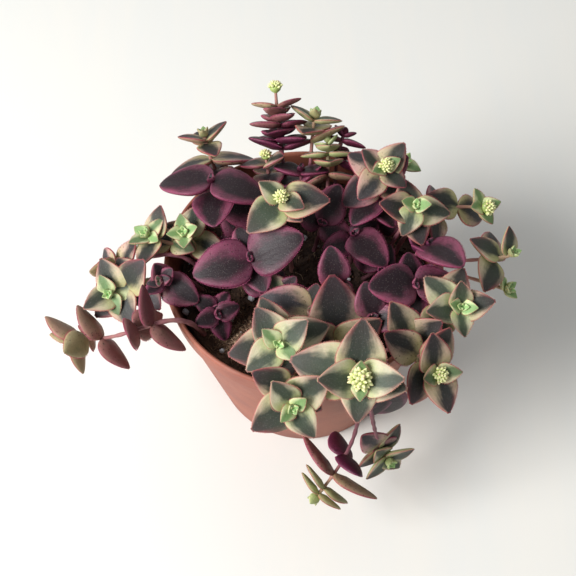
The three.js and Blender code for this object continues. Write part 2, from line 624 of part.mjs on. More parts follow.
// The bare stems and bud clusters come first, then the leaves, in the plan's order, so that
// those of the later stems give way.
const stems = stemPlan.map((plan, i) => {
  let solid = loft(stemRings(routes[i], 0));
  place(plan.name, solid);
  if (plan.head) {
    const cluster = budCluster(routes[i], plan.head);
    place(plan.name, cluster);
    solid = solid.add(cluster);
  }
  return { plan, solid, leaves: leavesOf(plan, routes[i]) };
});
for (const stem of stems) {
  for (const leaf of stem.leaves) {
    const bend = bends.find((one) => !crosses(stem.plan.name, leafSolid(leaf, one, leafGap)));
    if (bend) {
      const blade = leafSolid(leaf, bend, 0);
      place(stem.plan.name, blade);
      stem.solid = stem.solid.add(blade);
    }
  }
}
for (const { plan, solid } of stems) {
  const color = young.clone().lerp(old, 0.5 * (plan.age[0] + plan.age[1]));
  const mesh = new THREE.Mesh(geometryOf(solid), matte(color, 0.5));
  mesh.name = `stem_${plan.name}`;
  model.add(mesh);
}

export default model;
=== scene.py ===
# A potted calico kitten crassula: fine leaves, stems and buds, the mix and the pot.
import json
import math

import bpy
import numpy as np
from mathutils import Matrix


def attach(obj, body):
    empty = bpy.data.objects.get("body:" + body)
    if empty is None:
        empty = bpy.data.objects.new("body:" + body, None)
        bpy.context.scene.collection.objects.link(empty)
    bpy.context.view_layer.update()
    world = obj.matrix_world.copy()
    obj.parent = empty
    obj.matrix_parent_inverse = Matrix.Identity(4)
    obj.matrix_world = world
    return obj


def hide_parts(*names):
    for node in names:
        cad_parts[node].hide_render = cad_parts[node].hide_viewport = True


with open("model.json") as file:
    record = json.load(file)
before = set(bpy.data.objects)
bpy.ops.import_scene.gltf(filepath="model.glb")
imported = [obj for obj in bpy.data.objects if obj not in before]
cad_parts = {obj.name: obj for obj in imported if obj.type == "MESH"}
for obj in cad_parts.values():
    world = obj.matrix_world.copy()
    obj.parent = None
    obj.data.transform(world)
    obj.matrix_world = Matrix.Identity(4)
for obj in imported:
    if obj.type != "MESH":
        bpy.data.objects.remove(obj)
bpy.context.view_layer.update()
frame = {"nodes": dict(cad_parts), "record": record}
mm = 0.001
print("frame loaded:", len(frame["nodes"]), "solids")


# shader expressions
class Wire:
    # One output of a node tree. Arithmetic on wires adds Math nodes.
    def __init__(self, tree, socket=None):
        self.tree = tree
        self.socket = socket

    def node(self, kind, settings=None, links=None, out=0):
        made = self.tree.nodes.new("ShaderNode" + kind)
        for key, value in (settings or {}).items():
            if key == "stops":
                self.setStops(made.color_ramp.elements, value)
            else:
                setattr(made, key, value)
        for key, value in (links or {}).items():
            if isinstance(value, Wire):
                self.tree.links.new(value.socket, made.inputs[key])
            else:
                made.inputs[key].default_value = value
        return Wire(self.tree, made.outputs[out] if len(made.outputs) else None)

    def setStops(self, elements, stops):
        while len(elements) < len(stops):
            elements.new(0.5)
        for element, (place, color) in zip(elements, stops):
            element.position = place
            element.color = color

    def maths(self, operation, *values):
        return self.node("Math", {"operation": operation}, dict(enumerate(values)))

    def __add__(self, other):
        return self.maths("ADD", self, other)

    def __sub__(self, other):
        return self.maths("SUBTRACT", self, other)

    def __rsub__(self, other):
        return self.maths("SUBTRACT", other, self)

    def __mul__(self, other):
        return self.maths("MULTIPLY", self, other)

    def __abs__(self):
        return self.maths("ABSOLUTE", self)

    __radd__ = __add__
    __rmul__ = __mul__

    def ease(self, low, high):  # 0 below low, 1 above high, smooth between
        return self.node("MapRange", {"interpolation_type": "SMOOTHSTEP"},
                         {"Value": self, "From Min": low, "From Max": high})

    def mix(self, first, second):  # this wire is the share of the second colour
        return self.node("Mix", {"data_type": "RGBA"}, {0: self, 6: first, 7: second}, out=2)

    def ramp(self, stops):
        return self.node("ValToRGB", {"stops": [(place, paint(code)) for place, code in stops]},
                         {0: self})


def paint(code):
    # A screen colour such as 7a4a55 as the linear colour that a shader takes.
    parts = np.array([int(code[i:i + 2], 16) for i in (0, 2, 4)]) / 255
    linear = np.where(parts > 0.04045, ((parts + 0.055) / 1.055) ** 2.4, parts / 12.92)
    return (*linear.tolist(), 1.0)


def startMaterial(name):
    material = bpy.data.materials.new(name)
    material.use_nodes = True
    material.node_tree.nodes.clear()
    return material, Wire(material.node_tree)


def endMaterial(wire, color, roughness, height, depth, **fixed):
    # depth is the bump's in metres; fixed holds constants, with _ for the blanks of their names
    bump = wire.node("Bump", {}, {"Strength": 1.0, "Distance": depth, "Height": height})
    links = {"Base Color": color, "Roughness": roughness, "Normal": bump}
    links.update({key.replace("_", " "): value for key, value in fixed.items()})
    surface = wire.node("BsdfPrincipled", {}, links)
    wire.node("OutputMaterial", {}, {"Surface": surface})


def objectPlace(wire):
    return wire.node("TexCoord", out=3)


def attribute(wire, name):
    return wire.node("Attribute", {"attribute_name": name}, out=2)


def alongAcross(wire):
    # The two parts of leafUv: along a blade, stem or bud, and across or round it.
    uv = wire.node("UVMap", {"uv_map": "leafUv"})
    return [wire.node("SeparateXYZ", {}, {0: uv}, out=part) for part in (0, 1)]


def noise(wire, place, scale, detail=2.0, roughness=0.5):
    return wire.node("TexNoise", {}, {"Vector": place, "Scale": scale, "Detail": detail,
                                      "Roughness": roughness})


def cellNoise(wire, place, scale):
    return wire.node("TexVoronoi", {}, {"Vector": place, "Scale": scale, "Randomness": 1.0})


lookNames = ("leafAge", "leafSeed", "leafFresh", "leafFace")  # values that the meshes carry

leafColors = {  # a list runs from the youngest leaf to the oldest
    "blotch": [(0.0, "404a3b"), (0.25, "2e302c"), (0.5, "2a272b"), (0.75, "24151c"), (1.0, "1a0810")],
    "margin": [(0.0, "c4bea0"), (0.25, "c9b398"), (0.5, "bb8c8c"), (0.75, "9c546c"), (1.0, "7c3652")],
    "base": [(0.0, "a7b079"), (0.25, "afa87a"), (0.5, "a29272"), (0.75, "7a4256"), (1.0, "541e36")],
    "line": [(0.0, "c4807a"), (0.25, "a8404c"), (0.5, "92304a"), (0.75, "7e2f4c"), (1.0, "74304f")],
    "under": [(0.0, "a2aa74"), (0.3, "a08e6a"), (0.55, "8a5854"), (0.8, "602438"), (1.0, "44122c")],
    "cilia": [(0.0, "d8a088"), (0.25, "bc4c54"), (0.6, "b4486a"), (1.0, "b85a80")],
    "fresh": "94ba74", "freshRim": "cfdea2", "dots": "24080f", "tint": "40262f", "meal": "b4aca4",
}

leafPattern = {  # scales are per metre, widths are shares of the half blade
    "cloudScale": 210.0, "grainScale": 1700.0, "dotScale": 700.0, "mealScale": 1500.0,
    "streakAlong": 2.6, "streakAcross": 11.0, "footWide": 0.06, "bodyWide": 0.48,
    "pointWide": 0.36, "oldWide": 0.14, "spreadWide": 0.34, "sideways": 0.5, "streakEdge": 0.5,
    "cloudEdge": 0.6, "tint": 0.5, "flush": 0.7, "dots": 0.8, "meal": 0.22, "rough": 0.42,
    "specular": 0.34, "glow": 0.12, "glowReach": 0.0016, "bump": 0.00022,
}


def leafMaterial():
    # u runs along the blade and v across it; the blotch is what lies nearer the midline
    # than a streaked limit, and the margin runs from green at the base to pink at the point.
    material, wire = startMaterial("calicoLeaf")
    look = leafPattern
    u, v = alongAcross(wire)
    age, seed, fresh, face = (attribute(wire, name) for name in lookNames)
    place = objectPlace(wire)
    grown = 1.0 - fresh
    old = age.ease(0.5, 0.85)
    along = wire.node("CombineXYZ", {}, {0: u * look["streakAlong"] + seed * 9.0,
                                         1: v * look["streakAcross"], 2: seed * 23.0})
    streaks = noise(wire, along, 1.0, 4.0, 0.65)
    clouds = noise(wire, place, look["cloudScale"], 3.0, 0.55)
    grain = noise(wire, place, look["grainScale"], 2.0, 0.6)

    limit = (look["footWide"] + u.ease(0.0, 0.5) * look["bodyWide"]
             + u.ease(0.5, 0.9) * (1.0 - old) * look["pointWide"]
             + old * look["oldWide"] + (seed - 0.5) * look["spreadWide"])
    lean = (wire.maths("FRACT", seed * 7.3) - 0.5) * look["sideways"]
    reach = (abs(v * 2.0 - 1.0 + lean) + (streaks - 0.5) * look["streakEdge"]
             + (clouds - 0.5) * look["cloudEdge"] - limit)
    margin = (reach * (1.0 - age * 0.3)).ease(-0.24, 0.4)
    older = age + (clouds - 0.5) * 0.24 + (wire.maths("FRACT", seed * 3.7) - 0.6) * 0.24
    line = older.ramp(leafColors["line"])
    blotch = fresh.mix(older.ramp(leafColors["blotch"]), paint(leafColors["fresh"]))
    pale = (u + (clouds - 0.5) * 0.4).ease(0.1, 0.7).mix(older.ramp(leafColors["base"]),
                                                        older.ramp(leafColors["margin"]))
    pale = fresh.mix(pale, paint(leafColors["freshRim"]))
    color = margin.mix(blotch, pale)
    tint = u.ease(0.4, 1.0) * grown * (1.0 - old) * look["tint"]
    color = (tint * (0.4 + seed * 0.6)).mix(color, paint(leafColors["tint"]))

    # a red flush that comes in from the edge, most towards the point, then the rim itself
    across = abs(v * 2.0 - 1.0)
    flush = across.ease(0.5, 1.0) * (0.15 + u.ease(0.35, 1.0) * 0.85) * (0.2 + clouds * 0.9)
    color = (flush * grown * look["flush"]).mix(color, line)
    rim = (across.ease(0.94, 1.0) + u.ease(0.95, 1.0) * 0.6) * (1.0 - fresh * 0.8)
    color = (rim * (0.1 + grain * 1.3)).mix(color, line)
    under = (0.5 + clouds * 0.7) * (1.0 - face)
    color = under.mix(color, older.ramp(leafColors["under"]))

    # dark pores, the pale meal on top, and a slow change of shade
    pores = 1.0 - cellNoise(wire, place, look["dotScale"]).ease(0.1, 0.3)
    dots = pores * (margin * 0.8 + 0.2) * age.ease(0.15, 0.5) * look["dots"]
    color = dots.mix(color, paint(leafColors["dots"]))
    flecks = 1.0 - cellNoise(wire, place, look["mealScale"]).ease(0.08, 0.26)
    color = (flecks * look["meal"] * face).mix(color, paint(leafColors["meal"]))
    shade = 0.7 + grain * 0.36 + clouds * 0.26
    gray = wire.node("CombineColor", {}, {0: shade, 1: shade, 2: shade})
    color = wire.node("Mix", {"data_type": "RGBA", "blend_type": "MULTIPLY"},
                      {0: 1.0, 6: color, 7: gray}, out=2)
    rough = look["rough"] + grain * 0.16 + streaks * 0.1 - age * 0.06
    height = grain * 0.5 + streaks * 0.7 + clouds * 0.8
    endMaterial(wire, color, rough, height, look["bump"], Specular_IOR_Level=look["specular"],
                Subsurface_Weight=look["glow"], Subsurface_Radius=(0.9, 0.4, 0.25),
                Subsurface_Scale=look["glowReach"])
    return material


stemColors = {
    "skin": [(0.0, "a7a276"), (0.35, "a87868"), (0.7, "87485a"), (1.0, "552a38")],
    "streaks": "c79a92",
}


def stemMaterial():
    # Pinkish brown skin, darker with age, with fine pale streaks along the stem.
    material, wire = startMaterial("stemSkin")
    u, v = alongAcross(wire)
    age = attribute(wire, "leafAge")
    streaked = wire.node("CombineXYZ", {}, {0: u * 6.0, 1: v * 40.0, 2: age})
    grain = noise(wire, streaked, 1.0, 3.0)
    clouds = noise(wire, objectPlace(wire), 240.0, 2.0)
    color = (age * 0.8 + clouds * 0.4 - 0.1).ramp(stemColors["skin"])
    color = ((grain - 0.35) * 0.8).mix(color, paint(stemColors["streaks"]))
    endMaterial(wire, color, 0.45 + grain * 0.2, grain, 0.00015, Specular_IOR_Level=0.35)
    return material


def ciliaMaterial():
    # Rose hairs, pinker on the old leaves.
    material, wire = startMaterial("leafCilia")
    grain = noise(wire, objectPlace(wire), 900.0, 1.0)
    age = attribute(wire, "leafAge")
    color = (age + (grain - 0.5) * 0.5).ramp(leafColors["cilia"])
    endMaterial(wire, color, 0.5 + grain * 0.2, grain, 0.00004)
    return material


budColors = {
    "skin": [(0.0, "7f9a52"), (0.4, "c3cc7c"), (0.85, "e6e6ae"), (1.0, "e3cda0")],
    "blush": "c98a78",
}


def budMaterial():
    # Pale yellow green buds, greener at their feet, with a blush on some points.
    material, wire = startMaterial("budSkin")
    u = alongAcross(wire)[0]
    seed = attribute(wire, "leafSeed")
    grain = noise(wire, objectPlace(wire), 1500.0, 2.0)
    color = (u + (grain - 0.5) * 0.3).ramp(budColors["skin"])
    blush = seed.ease(0.75, 1.0) * u.ease(0.5, 1.0) * 0.6
    color = blush.mix(color, paint(budColors["blush"]))
    endMaterial(wire, color, 0.42 + grain * 0.15, grain, 0.00006, Specular_IOR_Level=0.4,
                Subsurface_Weight=0.15, Subsurface_Radius=(0.8, 0.7, 0.3), Subsurface_Scale=0.001)
    return material


# meshes from arrays
def join(parts):
    # The points, faces, UVs and looks of several parts as one set of arrays.
    offset = 0
    quads, triangles, quadSlots, triangleSlots = [], [], [], []
    for part in parts:
        quads.append(part["quads"] + offset)
        triangles.append(part["triangles"] + offset)
        quadSlots.append(np.full(len(part["quads"]), part["slot"]))
        triangleSlots.append(np.full(len(part["triangles"]), part["slot"]))
        offset += len(part["points"])
    looks = {key: np.concatenate([np.broadcast_to(part["looks"].get(key, 0.0), len(part["points"]))
                                  for part in parts]) for key in lookNames}
    return {"points": np.concatenate([part["points"] for part in parts]),
            "uv": np.concatenate([part["uv"] for part in parts]),
            "quads": np.concatenate(quads), "triangles": np.concatenate(triangles),
            "slots": np.concatenate(quadSlots + triangleSlots), "looks": looks}


def makeMesh(name, parts, materials=()):
    whole = join(parts)
    mesh = bpy.data.meshes.new(name)
    quads, triangles = whole["quads"], whole["triangles"]
    mesh.vertices.add(len(whole["points"]))
    mesh.vertices.foreach_set("co", whole["points"].astype(np.float32).ravel())
    mesh.loops.add(quads.size + triangles.size)
    corners = np.concatenate([quads.ravel(), triangles.ravel()])
    mesh.loops.foreach_set("vertex_index", corners.astype(np.int32))
    starts = np.concatenate([np.arange(len(quads)) * 4, quads.size + np.arange(len(triangles)) * 3])
    mesh.polygons.add(len(starts))
    mesh.polygons.foreach_set("loop_start", starts.astype(np.int32))
    for material in materials:
        mesh.materials.append(material)
    mesh.polygons.foreach_set("material_index", whole["slots"].astype(np.int32))
    mesh.polygons.foreach_set("use_smooth", np.full(len(starts), True))
    layer = mesh.uv_layers.new(name="leafUv")
    layer.data.foreach_set("uv", whole["uv"][corners].astype(np.float32).ravel())
    for key, values in whole["looks"].items():
        if np.any(values):
            mesh.attributes.new(key, "FLOAT", "POINT").data.foreach_set(
                "value", values.astype(np.float32))
    mesh.update(calc_edges=True)
    mesh.validate()
    return mesh


def makeObject(name, data):
    made = bpy.data.objects.new(name, data)
    bpy.context.scene.collection.objects.link(made)
    return made


def slotOf(node):
    rows = frame["record"]["subparts"]
    return next(row["material_slot"] for row in rows if row["node"] == node)


def makePiece(name, parts, materials, node, standsFor=True):
    # A piece gets the materials given, and hides the node if it stands for it; the node's slot is
    # looked up but not used.
    piece = makeObject(name, makeMesh(name, parts, materials))
    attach(piece, "root")
    if standsFor:
        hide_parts(node)
    slotOf(node)
    return piece


def gridFaces(rows, columns):
    # Quads between each row and the next of a grid whose rows are closed rings.
    r, c = np.meshgrid(np.arange(rows - 1), np.arange(columns), indexing="ij")
    a = r * columns + c
    b = r * columns + (c + 1) % columns
    return np.stack([a, b, b + columns, a + columns], -1).reshape(-1, 4)


def closedSkin(rings, foot, head, looks, slot, uv=None):
    # Rings of as many points each, closed by a fan to foot below and to head above, turned
    # outwards by the sign of the volume: the sum of a . (b x c) over the triangles.
    rows, columns = rings.shape[:2]
    points = np.concatenate([rings.reshape(-1, 3), [foot], [head]]) * mm
    quads = gridFaces(rows, columns)
    around = np.arange(columns)
    nextOne = (around + 1) % columns
    low = np.stack([nextOne, around, np.full(columns, rows * columns)], -1)
    start = (rows - 1) * columns
    high = np.stack([start + around, start + nextOne, np.full(columns, rows * columns + 1)], -1)
    triangles = np.concatenate([low, high])
    every = np.concatenate([quads[:, [0, 1, 2]], quads[:, [0, 2, 3]], triangles])
    centred = points - points.mean(0)
    a, b, c = (centred[every[:, i]] for i in range(3))
    if np.einsum("ij,ij->i", a, np.cross(b, c)).sum() < 0:
        quads, triangles = quads[:, ::-1], triangles[:, ::-1]
    return {"points": points, "uv": np.zeros((len(points), 2)) if uv is None else uv,
            "quads": quads, "triangles": triangles, "looks": looks, "slot": slot}


def turnsOf(count):
    return 2 * np.pi * np.arange(count) / count


def ringsAbout(centres, one, other, girth):
    # centre + one girth cos t + other girth sin t, t running round each row of girth
    t = turnsOf(girth.shape[1])
    return (centres[:, None] + one * (girth * np.cos(t))[..., None]
            + other * (girth * np.sin(t))[..., None])


def unit(vector):
    return vector / np.linalg.norm(vector, axis=-1, keepdims=True)


def smoothStep(value, low, high):
    x = np.clip((value - low) / (high - low), 0, 1)
    return x * x * (3 - 2 * x)


# the growth plan, as the solids have it, in millimetres and degrees
growth = {
    "soilLevel": 82, "rootDepth": 8, "rootLean": 0.3, "routeSteps": 60,
    "leafWidth": 0.85, "leafDroop": 0.12, "leafCup": 0.07, "leafThick": 0.085, "leafThickLeast": 1,
    "petiole": 0.12, "bladeTaper": 0.8, "bladeBlunt": 0.28, "ageReach": 26, "lightReach": 12,
    "meeting": 0.02,
}


def stem(name, root, tip, pairs, aim=(-90, 60), rise=(6, 6), via=None, age=(0.9, 1), head=None):
    # aim is the azimuth and elevation of the tip; rise is how far the curve keeps its heading
    # at each end, or via names the curve's two control points; age is that at the tip and far
    # below it; head is the radius of the bud cluster. A row of pairs is the distance below the
    # tip, the length, the turn, and how far each of the two leaves opens.
    return {"name": name, "root": root, "tip": tip, "pairs": pairs, "aim": aim, "rise": rise,
            "via": via, "age": age, "head": head}


stemPlan = [
    stem("front", (10, -30), (18.5, -65.5, 115), aim=(-92, 62), rise=(30, 32), age=(0.05, 0.4),
         head=5.6,
         pairs=[(1.2, 9, 86, 42, 62), (2.2, 18, 178, 56, 56), (4, 23, 84, 71, None),
                (4, 17, 264, 80, None), (8, 27, 163, 88, None), (8, 20, 343, 86, None),
                (38, 22, 165, 92, None), (38, 21, 35, 80, None), (40, 29, 80, 85, None)]),
    stem("front_left", (-12, -26), (-11.5, -47, 110), aim=(-95, 66), rise=(25, 25), age=(0, 0.5),
         pairs=[(0.5, 3, 60, 25, 25), (1.5, 9.5, 136, 58, 70), (3, 16.5, 216, 82, 54),
                (4.5, 17.5, 120, 80, 84), (9, 21, 199, 84, 84), (14, 20, 290, 84, 70)]),
    stem("front_low", (-16, -38), (-7.2, -71.9, 105), aim=(-85, 50), rise=(50, 12), age=(0.1, 0.5),
         pairs=[(0.5, 4, 120, 25, 25), (1.2, 8, 40, 48, 48), (2.2, 15, 302, 72, 60),
                (5, 19, 210, 80, 68), (10, 16, 140, 70, 60)]),
    stem("front_right", (38, -24), (62, -33, 108), aim=(-75, 66), rise=(36, 12), age=(0, 0.6),
         pairs=[(0.5, 3.5, 80, 25, 25), (1, 7.5, 350, 42, 42), (1.8, 12, 95, 48, 82),
                (3.5, 15, 5, 60, 66), (6, 17, 124, 88, 76), (10, 18, 50, 80, 90)]),
    stem("centre", (-4, 2), (-8, 12, 125), aim=(-90, 78), rise=(25, 25), age=(0.1, 0.5), head=3.8,
         pairs=[(1.5, 12, 145, 58, 58), (3, 20, 355, 75, None), (4.5, 19, 220, 84, None),
                (7, 13, 310, 62, None), (31, 8, 20, 60, 60)]),
    stem("right", (32, 4), (47, 9, 120), aim=(-80, 70), rise=(25, 20), age=(0.05, 0.8),
         pairs=[(1, 8, 350, 38, 45), (2, 13, 64, 75, 98), (6, 16, 354, 85, 60), (9, 15, 285, 75, 60)]),
    stem("far_right", (40, 10), (79, 17, 105), aim=(-30, 60), via=((47, 12, 120), (69, 23, 98)),
         age=(0.2, 0.6), head=4.2,
         pairs=[(1.5, 8.5, 350, 50, 62), (2, 9, 280, 80, 60), (12, 17, 110, 92, 100),
                (22, 16, 205, 85, 92)]),
    stem("front_right_bud", (28, -38), (50, -60, 104), aim=(-60, 50), rise=(52, 12), age=(0.2, 0.6),
         head=4,
         pairs=[(1.5, 10, 2, 48, 50), (3, 17, 275, 64, 66), (7, 17, 215, 75, 70),
                (12, 17, 300, 85, 85)]),
    stem("left", (-43, -4), (-82, -14, 98), aim=(-120, 65), via=((-51, -6, 119), (-79, -9, 88)),
         age=(0.05, 0.6),
         pairs=[(0.5, 4, 30, 30, 30), (1, 9.5, 295, 85, 60), (3, 14.5, 48, 92, 50),
                (5, 16, 150, 65, 78), (9, 18, 281, 80, 50), (14, 15, 15, 85, 85)]),
    stem("upper_right", (22, 12), (35, 22, 130), aim=(-60, 66), rise=(30, 25), age=(0.3, 0.9), head=3.8,
         pairs=[(2, 8, 25, 45, 50), (4, 12, 140, 70, 75), (5.5, 15, 50, 48, 100), (9, 16, 318, 80, 100),
                (14, 17, 35, 50, 100)]),
    stem("crown", (-4, 26), (-8.5, 62.5, 134), aim=(92, 42), rise=(25, 25), age=(0.4, 1), head=3.9,
         pairs=[(7, 11, 180, 72, 68), (9.8, 11, 72, 70, 70), (12.4, 12, 120, 74, 74),
                (15, 13, 200, 76, 80), (18.5, 14, 250, 78, 74), (21.5, 14, 140, 80, 80),
                (25, 15, 190, 86, 78)]),
    stem("front_right_inner", (34, -30), (41, -45, 104), aim=(-60, 60), rise=(15, 15), age=(0.2, 0.5),
         pairs=[(0.5, 6, 40, 20, 20), (1, 19, 122, 48, 80), (4, 17, 214, 50, 40)]),
    stem("left_upper", (-38, 4), (-66, 10, 106), aim=(180, 65), rise=(36, 8), age=(0.1, 0.7),
         pairs=[(0.5, 4, 60, 30, 30), (1, 7.5, 138, 58, 78), (2, 10, 36, 72, 44),
                (4.5, 14.5, 240, 75, 62), (12, 15, 150, 85, 100)]),
    stem("left_inner", (-34, 10), (-50, 9, 108), aim=(-110, 70), rise=(20, 20), age=(0.05, 0.7),
         pairs=[(0.5, 4, 90, 30, 30), (1, 8, 190, 48, 50), (2, 9, 275, 50, 50), (6, 15, 65, 80, 95),
                (12, 16, 150, 80, 80)]),
    stem("left_red", (-38, -10), (-60, -12, 104), aim=(-100, 60), rise=(20, 20), age=(0.7, 0.9),
         pairs=[(1, 6, 190, 60, 50), (3, 9, 40, 50, 76), (6, 17, 317, 98, 70)]),
    stem("trailing_right", (20, -38), (34, -72, 42), aim=(-62, 8), via=((20, -88, 158), (26, -60, 39)),
         age=(0, 1),
         pairs=[(1, 5, 110, 30, 30), (2, 13, 20, 60, 74), (4, 12, 108, 75, 60), (9, 14, 30, 90, 90),
                (15, 15, 110, 90, 90)]),
    stem("trailing_left", (8, -42), (1, -86, 40), aim=(-139, -20), via=((14, -74, 145), (33, -57, 58)),
         age=(0.1, 1),
         pairs=[(0.8, 6, 100, 40, 40), (1.5, 11.5, 10, 92, 92), (5, 13, 350, 92, 95),
                (12.7, 21, 12, 98, 92), (24, 15, 60, 90, 90)]),
    stem("over_rim", (24, -44), (27, -64.5, 99), aim=(-80, 8), rise=(72, 8), age=(0.85, 1),
         pairs=[(0.5, 20, 293, 50, None), (1, 16, 246, 51, None), (6, 12, 90, 70, None)]),
    stem("back_left", (-22, 26), (-41, 56, 115), aim=(105, 55), rise=(20, 30), age=(0.3, 0.7),
         pairs=[(1, 5, 90, 35, 35), (3, 12.5, 17, 55, 60), (4.5, 13, 290, 95, 70),
                (12, 20, 190, 92, 98), (17, 18, 280, 90, 90)]),
    stem("crown_side", (4, 28), (8, 55, 125), aim=(75, 50), rise=(20, 25), age=(0.1, 0.9),
         pairs=[(0.8, 6, 80, 35, 35), (2, 12, 170, 68, 75), (6, 15, 70, 80, 90),
                (11, 16, 160, 85, 85)]),
    stem("back_green", (10, 22), (13, 46, 118), aim=(90, 40), rise=(20, 25), age=(0, 0.9),
         pairs=[(1, 6, 0, 40, 40), (3, 12, 90, 75, 75), (5, 12, 0, 85, 85), (9, 15, 270, 80, 90),
                (14, 15, 0, 85, 90)]),
    stem("back_bud", (-10, 18), (-14, 44, 112), aim=(100, 60), rise=(15, 20), age=(0.5, 0.9), head=3.4,
         pairs=[(3, 12, 170, 85, 70), (8, 16, 270, 85, 90), (14, 18, 180, 90, 90)]),
    stem("back_red", (17, 28), (20.5, 51, 117), aim=(60, 40), rise=(20, 20),
         pairs=[(1, 6, 0, 50, 50), (3, 11, 0, 80, 80), (6, 12, 90, 85, 85), (12, 15, 0, 90, 90)]),
    stem("upper_right_side", (30, 24), (46, 38, 112), aim=(-20, 60), rise=(20, 15), age=(0.1, 0.6),
         pairs=[(0.5, 5, 70, 35, 35), (1.2, 8.5, 330, 60, 60), (5, 12, 60, 80, 80)]),
    stem("far_right_low", (44, -8), (88, -4, 100), aim=(0, 55), via=((50, -9, 118), (81, -4, 90)),
         age=(0.1, 0.6),
         pairs=[(0.5, 5, 20, 40, 40), (2, 12.5, 112, 50, 68), (5.6, 15, 160, 92, 72),
                (9, 17, 262, 92, 90)]),
    stem("far_right_small", (46, -14), (87, -14, 88), aim=(-20, 45),
         via=((49, -15, 127), (78, -10, 83)), age=(0.1, 0.5),
         pairs=[(0.5, 5, 20, 40, 40), (1.5, 7, 110, 60, 60), (5, 11, 264, 105, 70)]),
    stem("left_side", (-42, 2), (-82, 1, 95), aim=(205, 35), via=((-48, 3, 122), (-73, 5, 88)),
         age=(0.4, 0.8),
         pairs=[(1, 13, 320, 45, 88), (4, 14, 50, 85, 50)]),
    stem("trailing_far_left", (-42, -26), (-101, -25, 84), aim=(195, -25),
         via=((-50, -30, 131), (-72, -38, 90)), age=(0.25, 0.6),
         pairs=[(1, 9, 240, 40, 50), (4, 16, 278, 55, 60), (9, 15, 10, 70, 65), (17.5, 17, 280, 92, 98),
                (36, 16, 10, 100, 105), (44, 17, 275, 92, 115)]),
    stem("inner_back_left", (-28, 18), (-37, 26, 120), aim=(120, 70), rise=(15, 15),
         pairs=[(0.5, 24, 345, 108, 84), (6, 22, 270, 86, 100)]),
    stem("inner_left", (-18, 4), (-22, -4, 106), aim=(-110, 70), rise=(10, 10),
         pairs=[(0.5, 25, 194, 78, 66), (6, 16, 110, 60, 66)]),
    stem("inner_front", (13, -6), (13, -15, 101), rise=(8, 8), age=(0.8, 1),
         pairs=[(0.5, 16, 97, 68, 50), (3, 8, 160, 60, 60)]),
    stem("inner_right", (38, -12), (45, -20, 105), aim=(-60, 70), rise=(10, 10),
         pairs=[(0.5, 21, 185, 72, 50), (6, 15, 95, 66, 50)]),
    stem("inner_far_right", (44, 2), (52, -1, 106), aim=(-10, 60), rise=(10, 10),
         pairs=[(0.5, 22, 316, 75, 55), (6, 16, 266, 70, 50)]),
    stem("inner_centre", (20, 6), (22, 7, 104), aim=(-60, 75), rise=(8, 8),
         pairs=[(0.5, 20, 308, 82, None), (5, 13, 30, 70, None), (7, 14, 200, 80, None)]),
    stem("inner_back_right", (27, 18), (33, 20, 112), aim=(60, 70), rise=(10, 10),
         pairs=[(0.5, 17, 204, 110, 60), (5, 14, 300, 90, 70)]),
    stem("inner_back", (-1, 34), (1, 37, 110), aim=(90, 60), rise=(10, 10),
         pairs=[(0.5, 17, 345, 105, 75), (5, 17, 180, 85, 70)]),
    stem("inner_small", (-10, -12), (-9, -15, 97), age=(0.6, 0.8),
         pairs=[(0.5, 10, 150, 75, 60), (2, 9, 45, 55, 50)]),
    stem("soil_left", (-35, -20), (-37, -23, 93), aim=(-60, 60),
         pairs=[(0.5, 10, 20, 75, 80), (3, 11, 105, 80, 80)]),
    stem("inner_left_front", (-24, -6), (-16, -15, 97),
         pairs=[(0.5, 5, 20, 30, 30), (2.4, 20, 105, 72, None), (3, 12, 15, 80, None)]),
    stem("inner_front_left", (-2, -20), (2, -26, 98), age=(0.6, 0.8),
         pairs=[(0.5, 22, 164, 85, None), (2, 12, 75, 70, None)]),
    stem("inner_middle", (24, 0), (33, -7, 98),
         pairs=[(0.5, 19, 123, 80, None), (1.5, 11, 68, 75, None)]),
    stem("inner_right_back", (38, 2), (52, -9, 100),
         pairs=[(0.5, 15, 112, 82, None), (2, 12, 200, 70, None)]),
    stem("inner_front_right", (20, -22), (27, -30, 98), age=(0.8, 1),
         pairs=[(0.6, 15, 100, 70, None), (2, 14, 352, 60, None)]),
    stem("inner_left_back", (-18, 14), (-17, 22, 104), age=(0.8, 1),
         pairs=[(1.3, 21, 150, 70, None), (2.8, 15, 268, 80, None)]),
    stem("inner_middle_back", (4, 14), (9, 15, 102),
         pairs=[(0.5, 18, 63, 70, None), (2.4, 15, 140, 60, None), (2.6, 15, 330, 70, None)]),
    stem("inner_right_side", (30, 10), (40, 20, 108), age=(0.8, 1),
         pairs=[(0.3, 22, 193, 93, None), (3.5, 14, 244, 105, None)]),
    stem("soil_far_left", (-40, -14), (-38, -20, 92),
         pairs=[(0.5, 10, 148, 75, None), (1, 9, 50, 70, None)]),
    stem("inner_left_side", (-30, 8), (-28, 14, 98),
         pairs=[(0.5, 16, 118, 72, None), (2.9, 13, 10, 70, None), (3, 13, 230, 90, None)]),
]

# The changes that a leaf may have had, to clear what it would cross: size, tilt and swing.
bends = sorted(((size, tilt, swing)
                for size in (1, 0.86, 0.72)
                for tilt in (0, -9, 9, -18, 18, -27, 27, -36, 36, -45, 45)
                for swing in (0, -10, 10, -20, 20, -30, 30)),
               key=lambda bend: abs(bend[1]) + 1.2 * abs(bend[2]) + 150 * (1 - bend[0]))


def direction(azimuth, elevation):
    a, e = math.radians(azimuth), math.radians(elevation)
    return np.array([math.cos(e) * math.cos(a), math.cos(e) * math.sin(a), math.sin(e)])


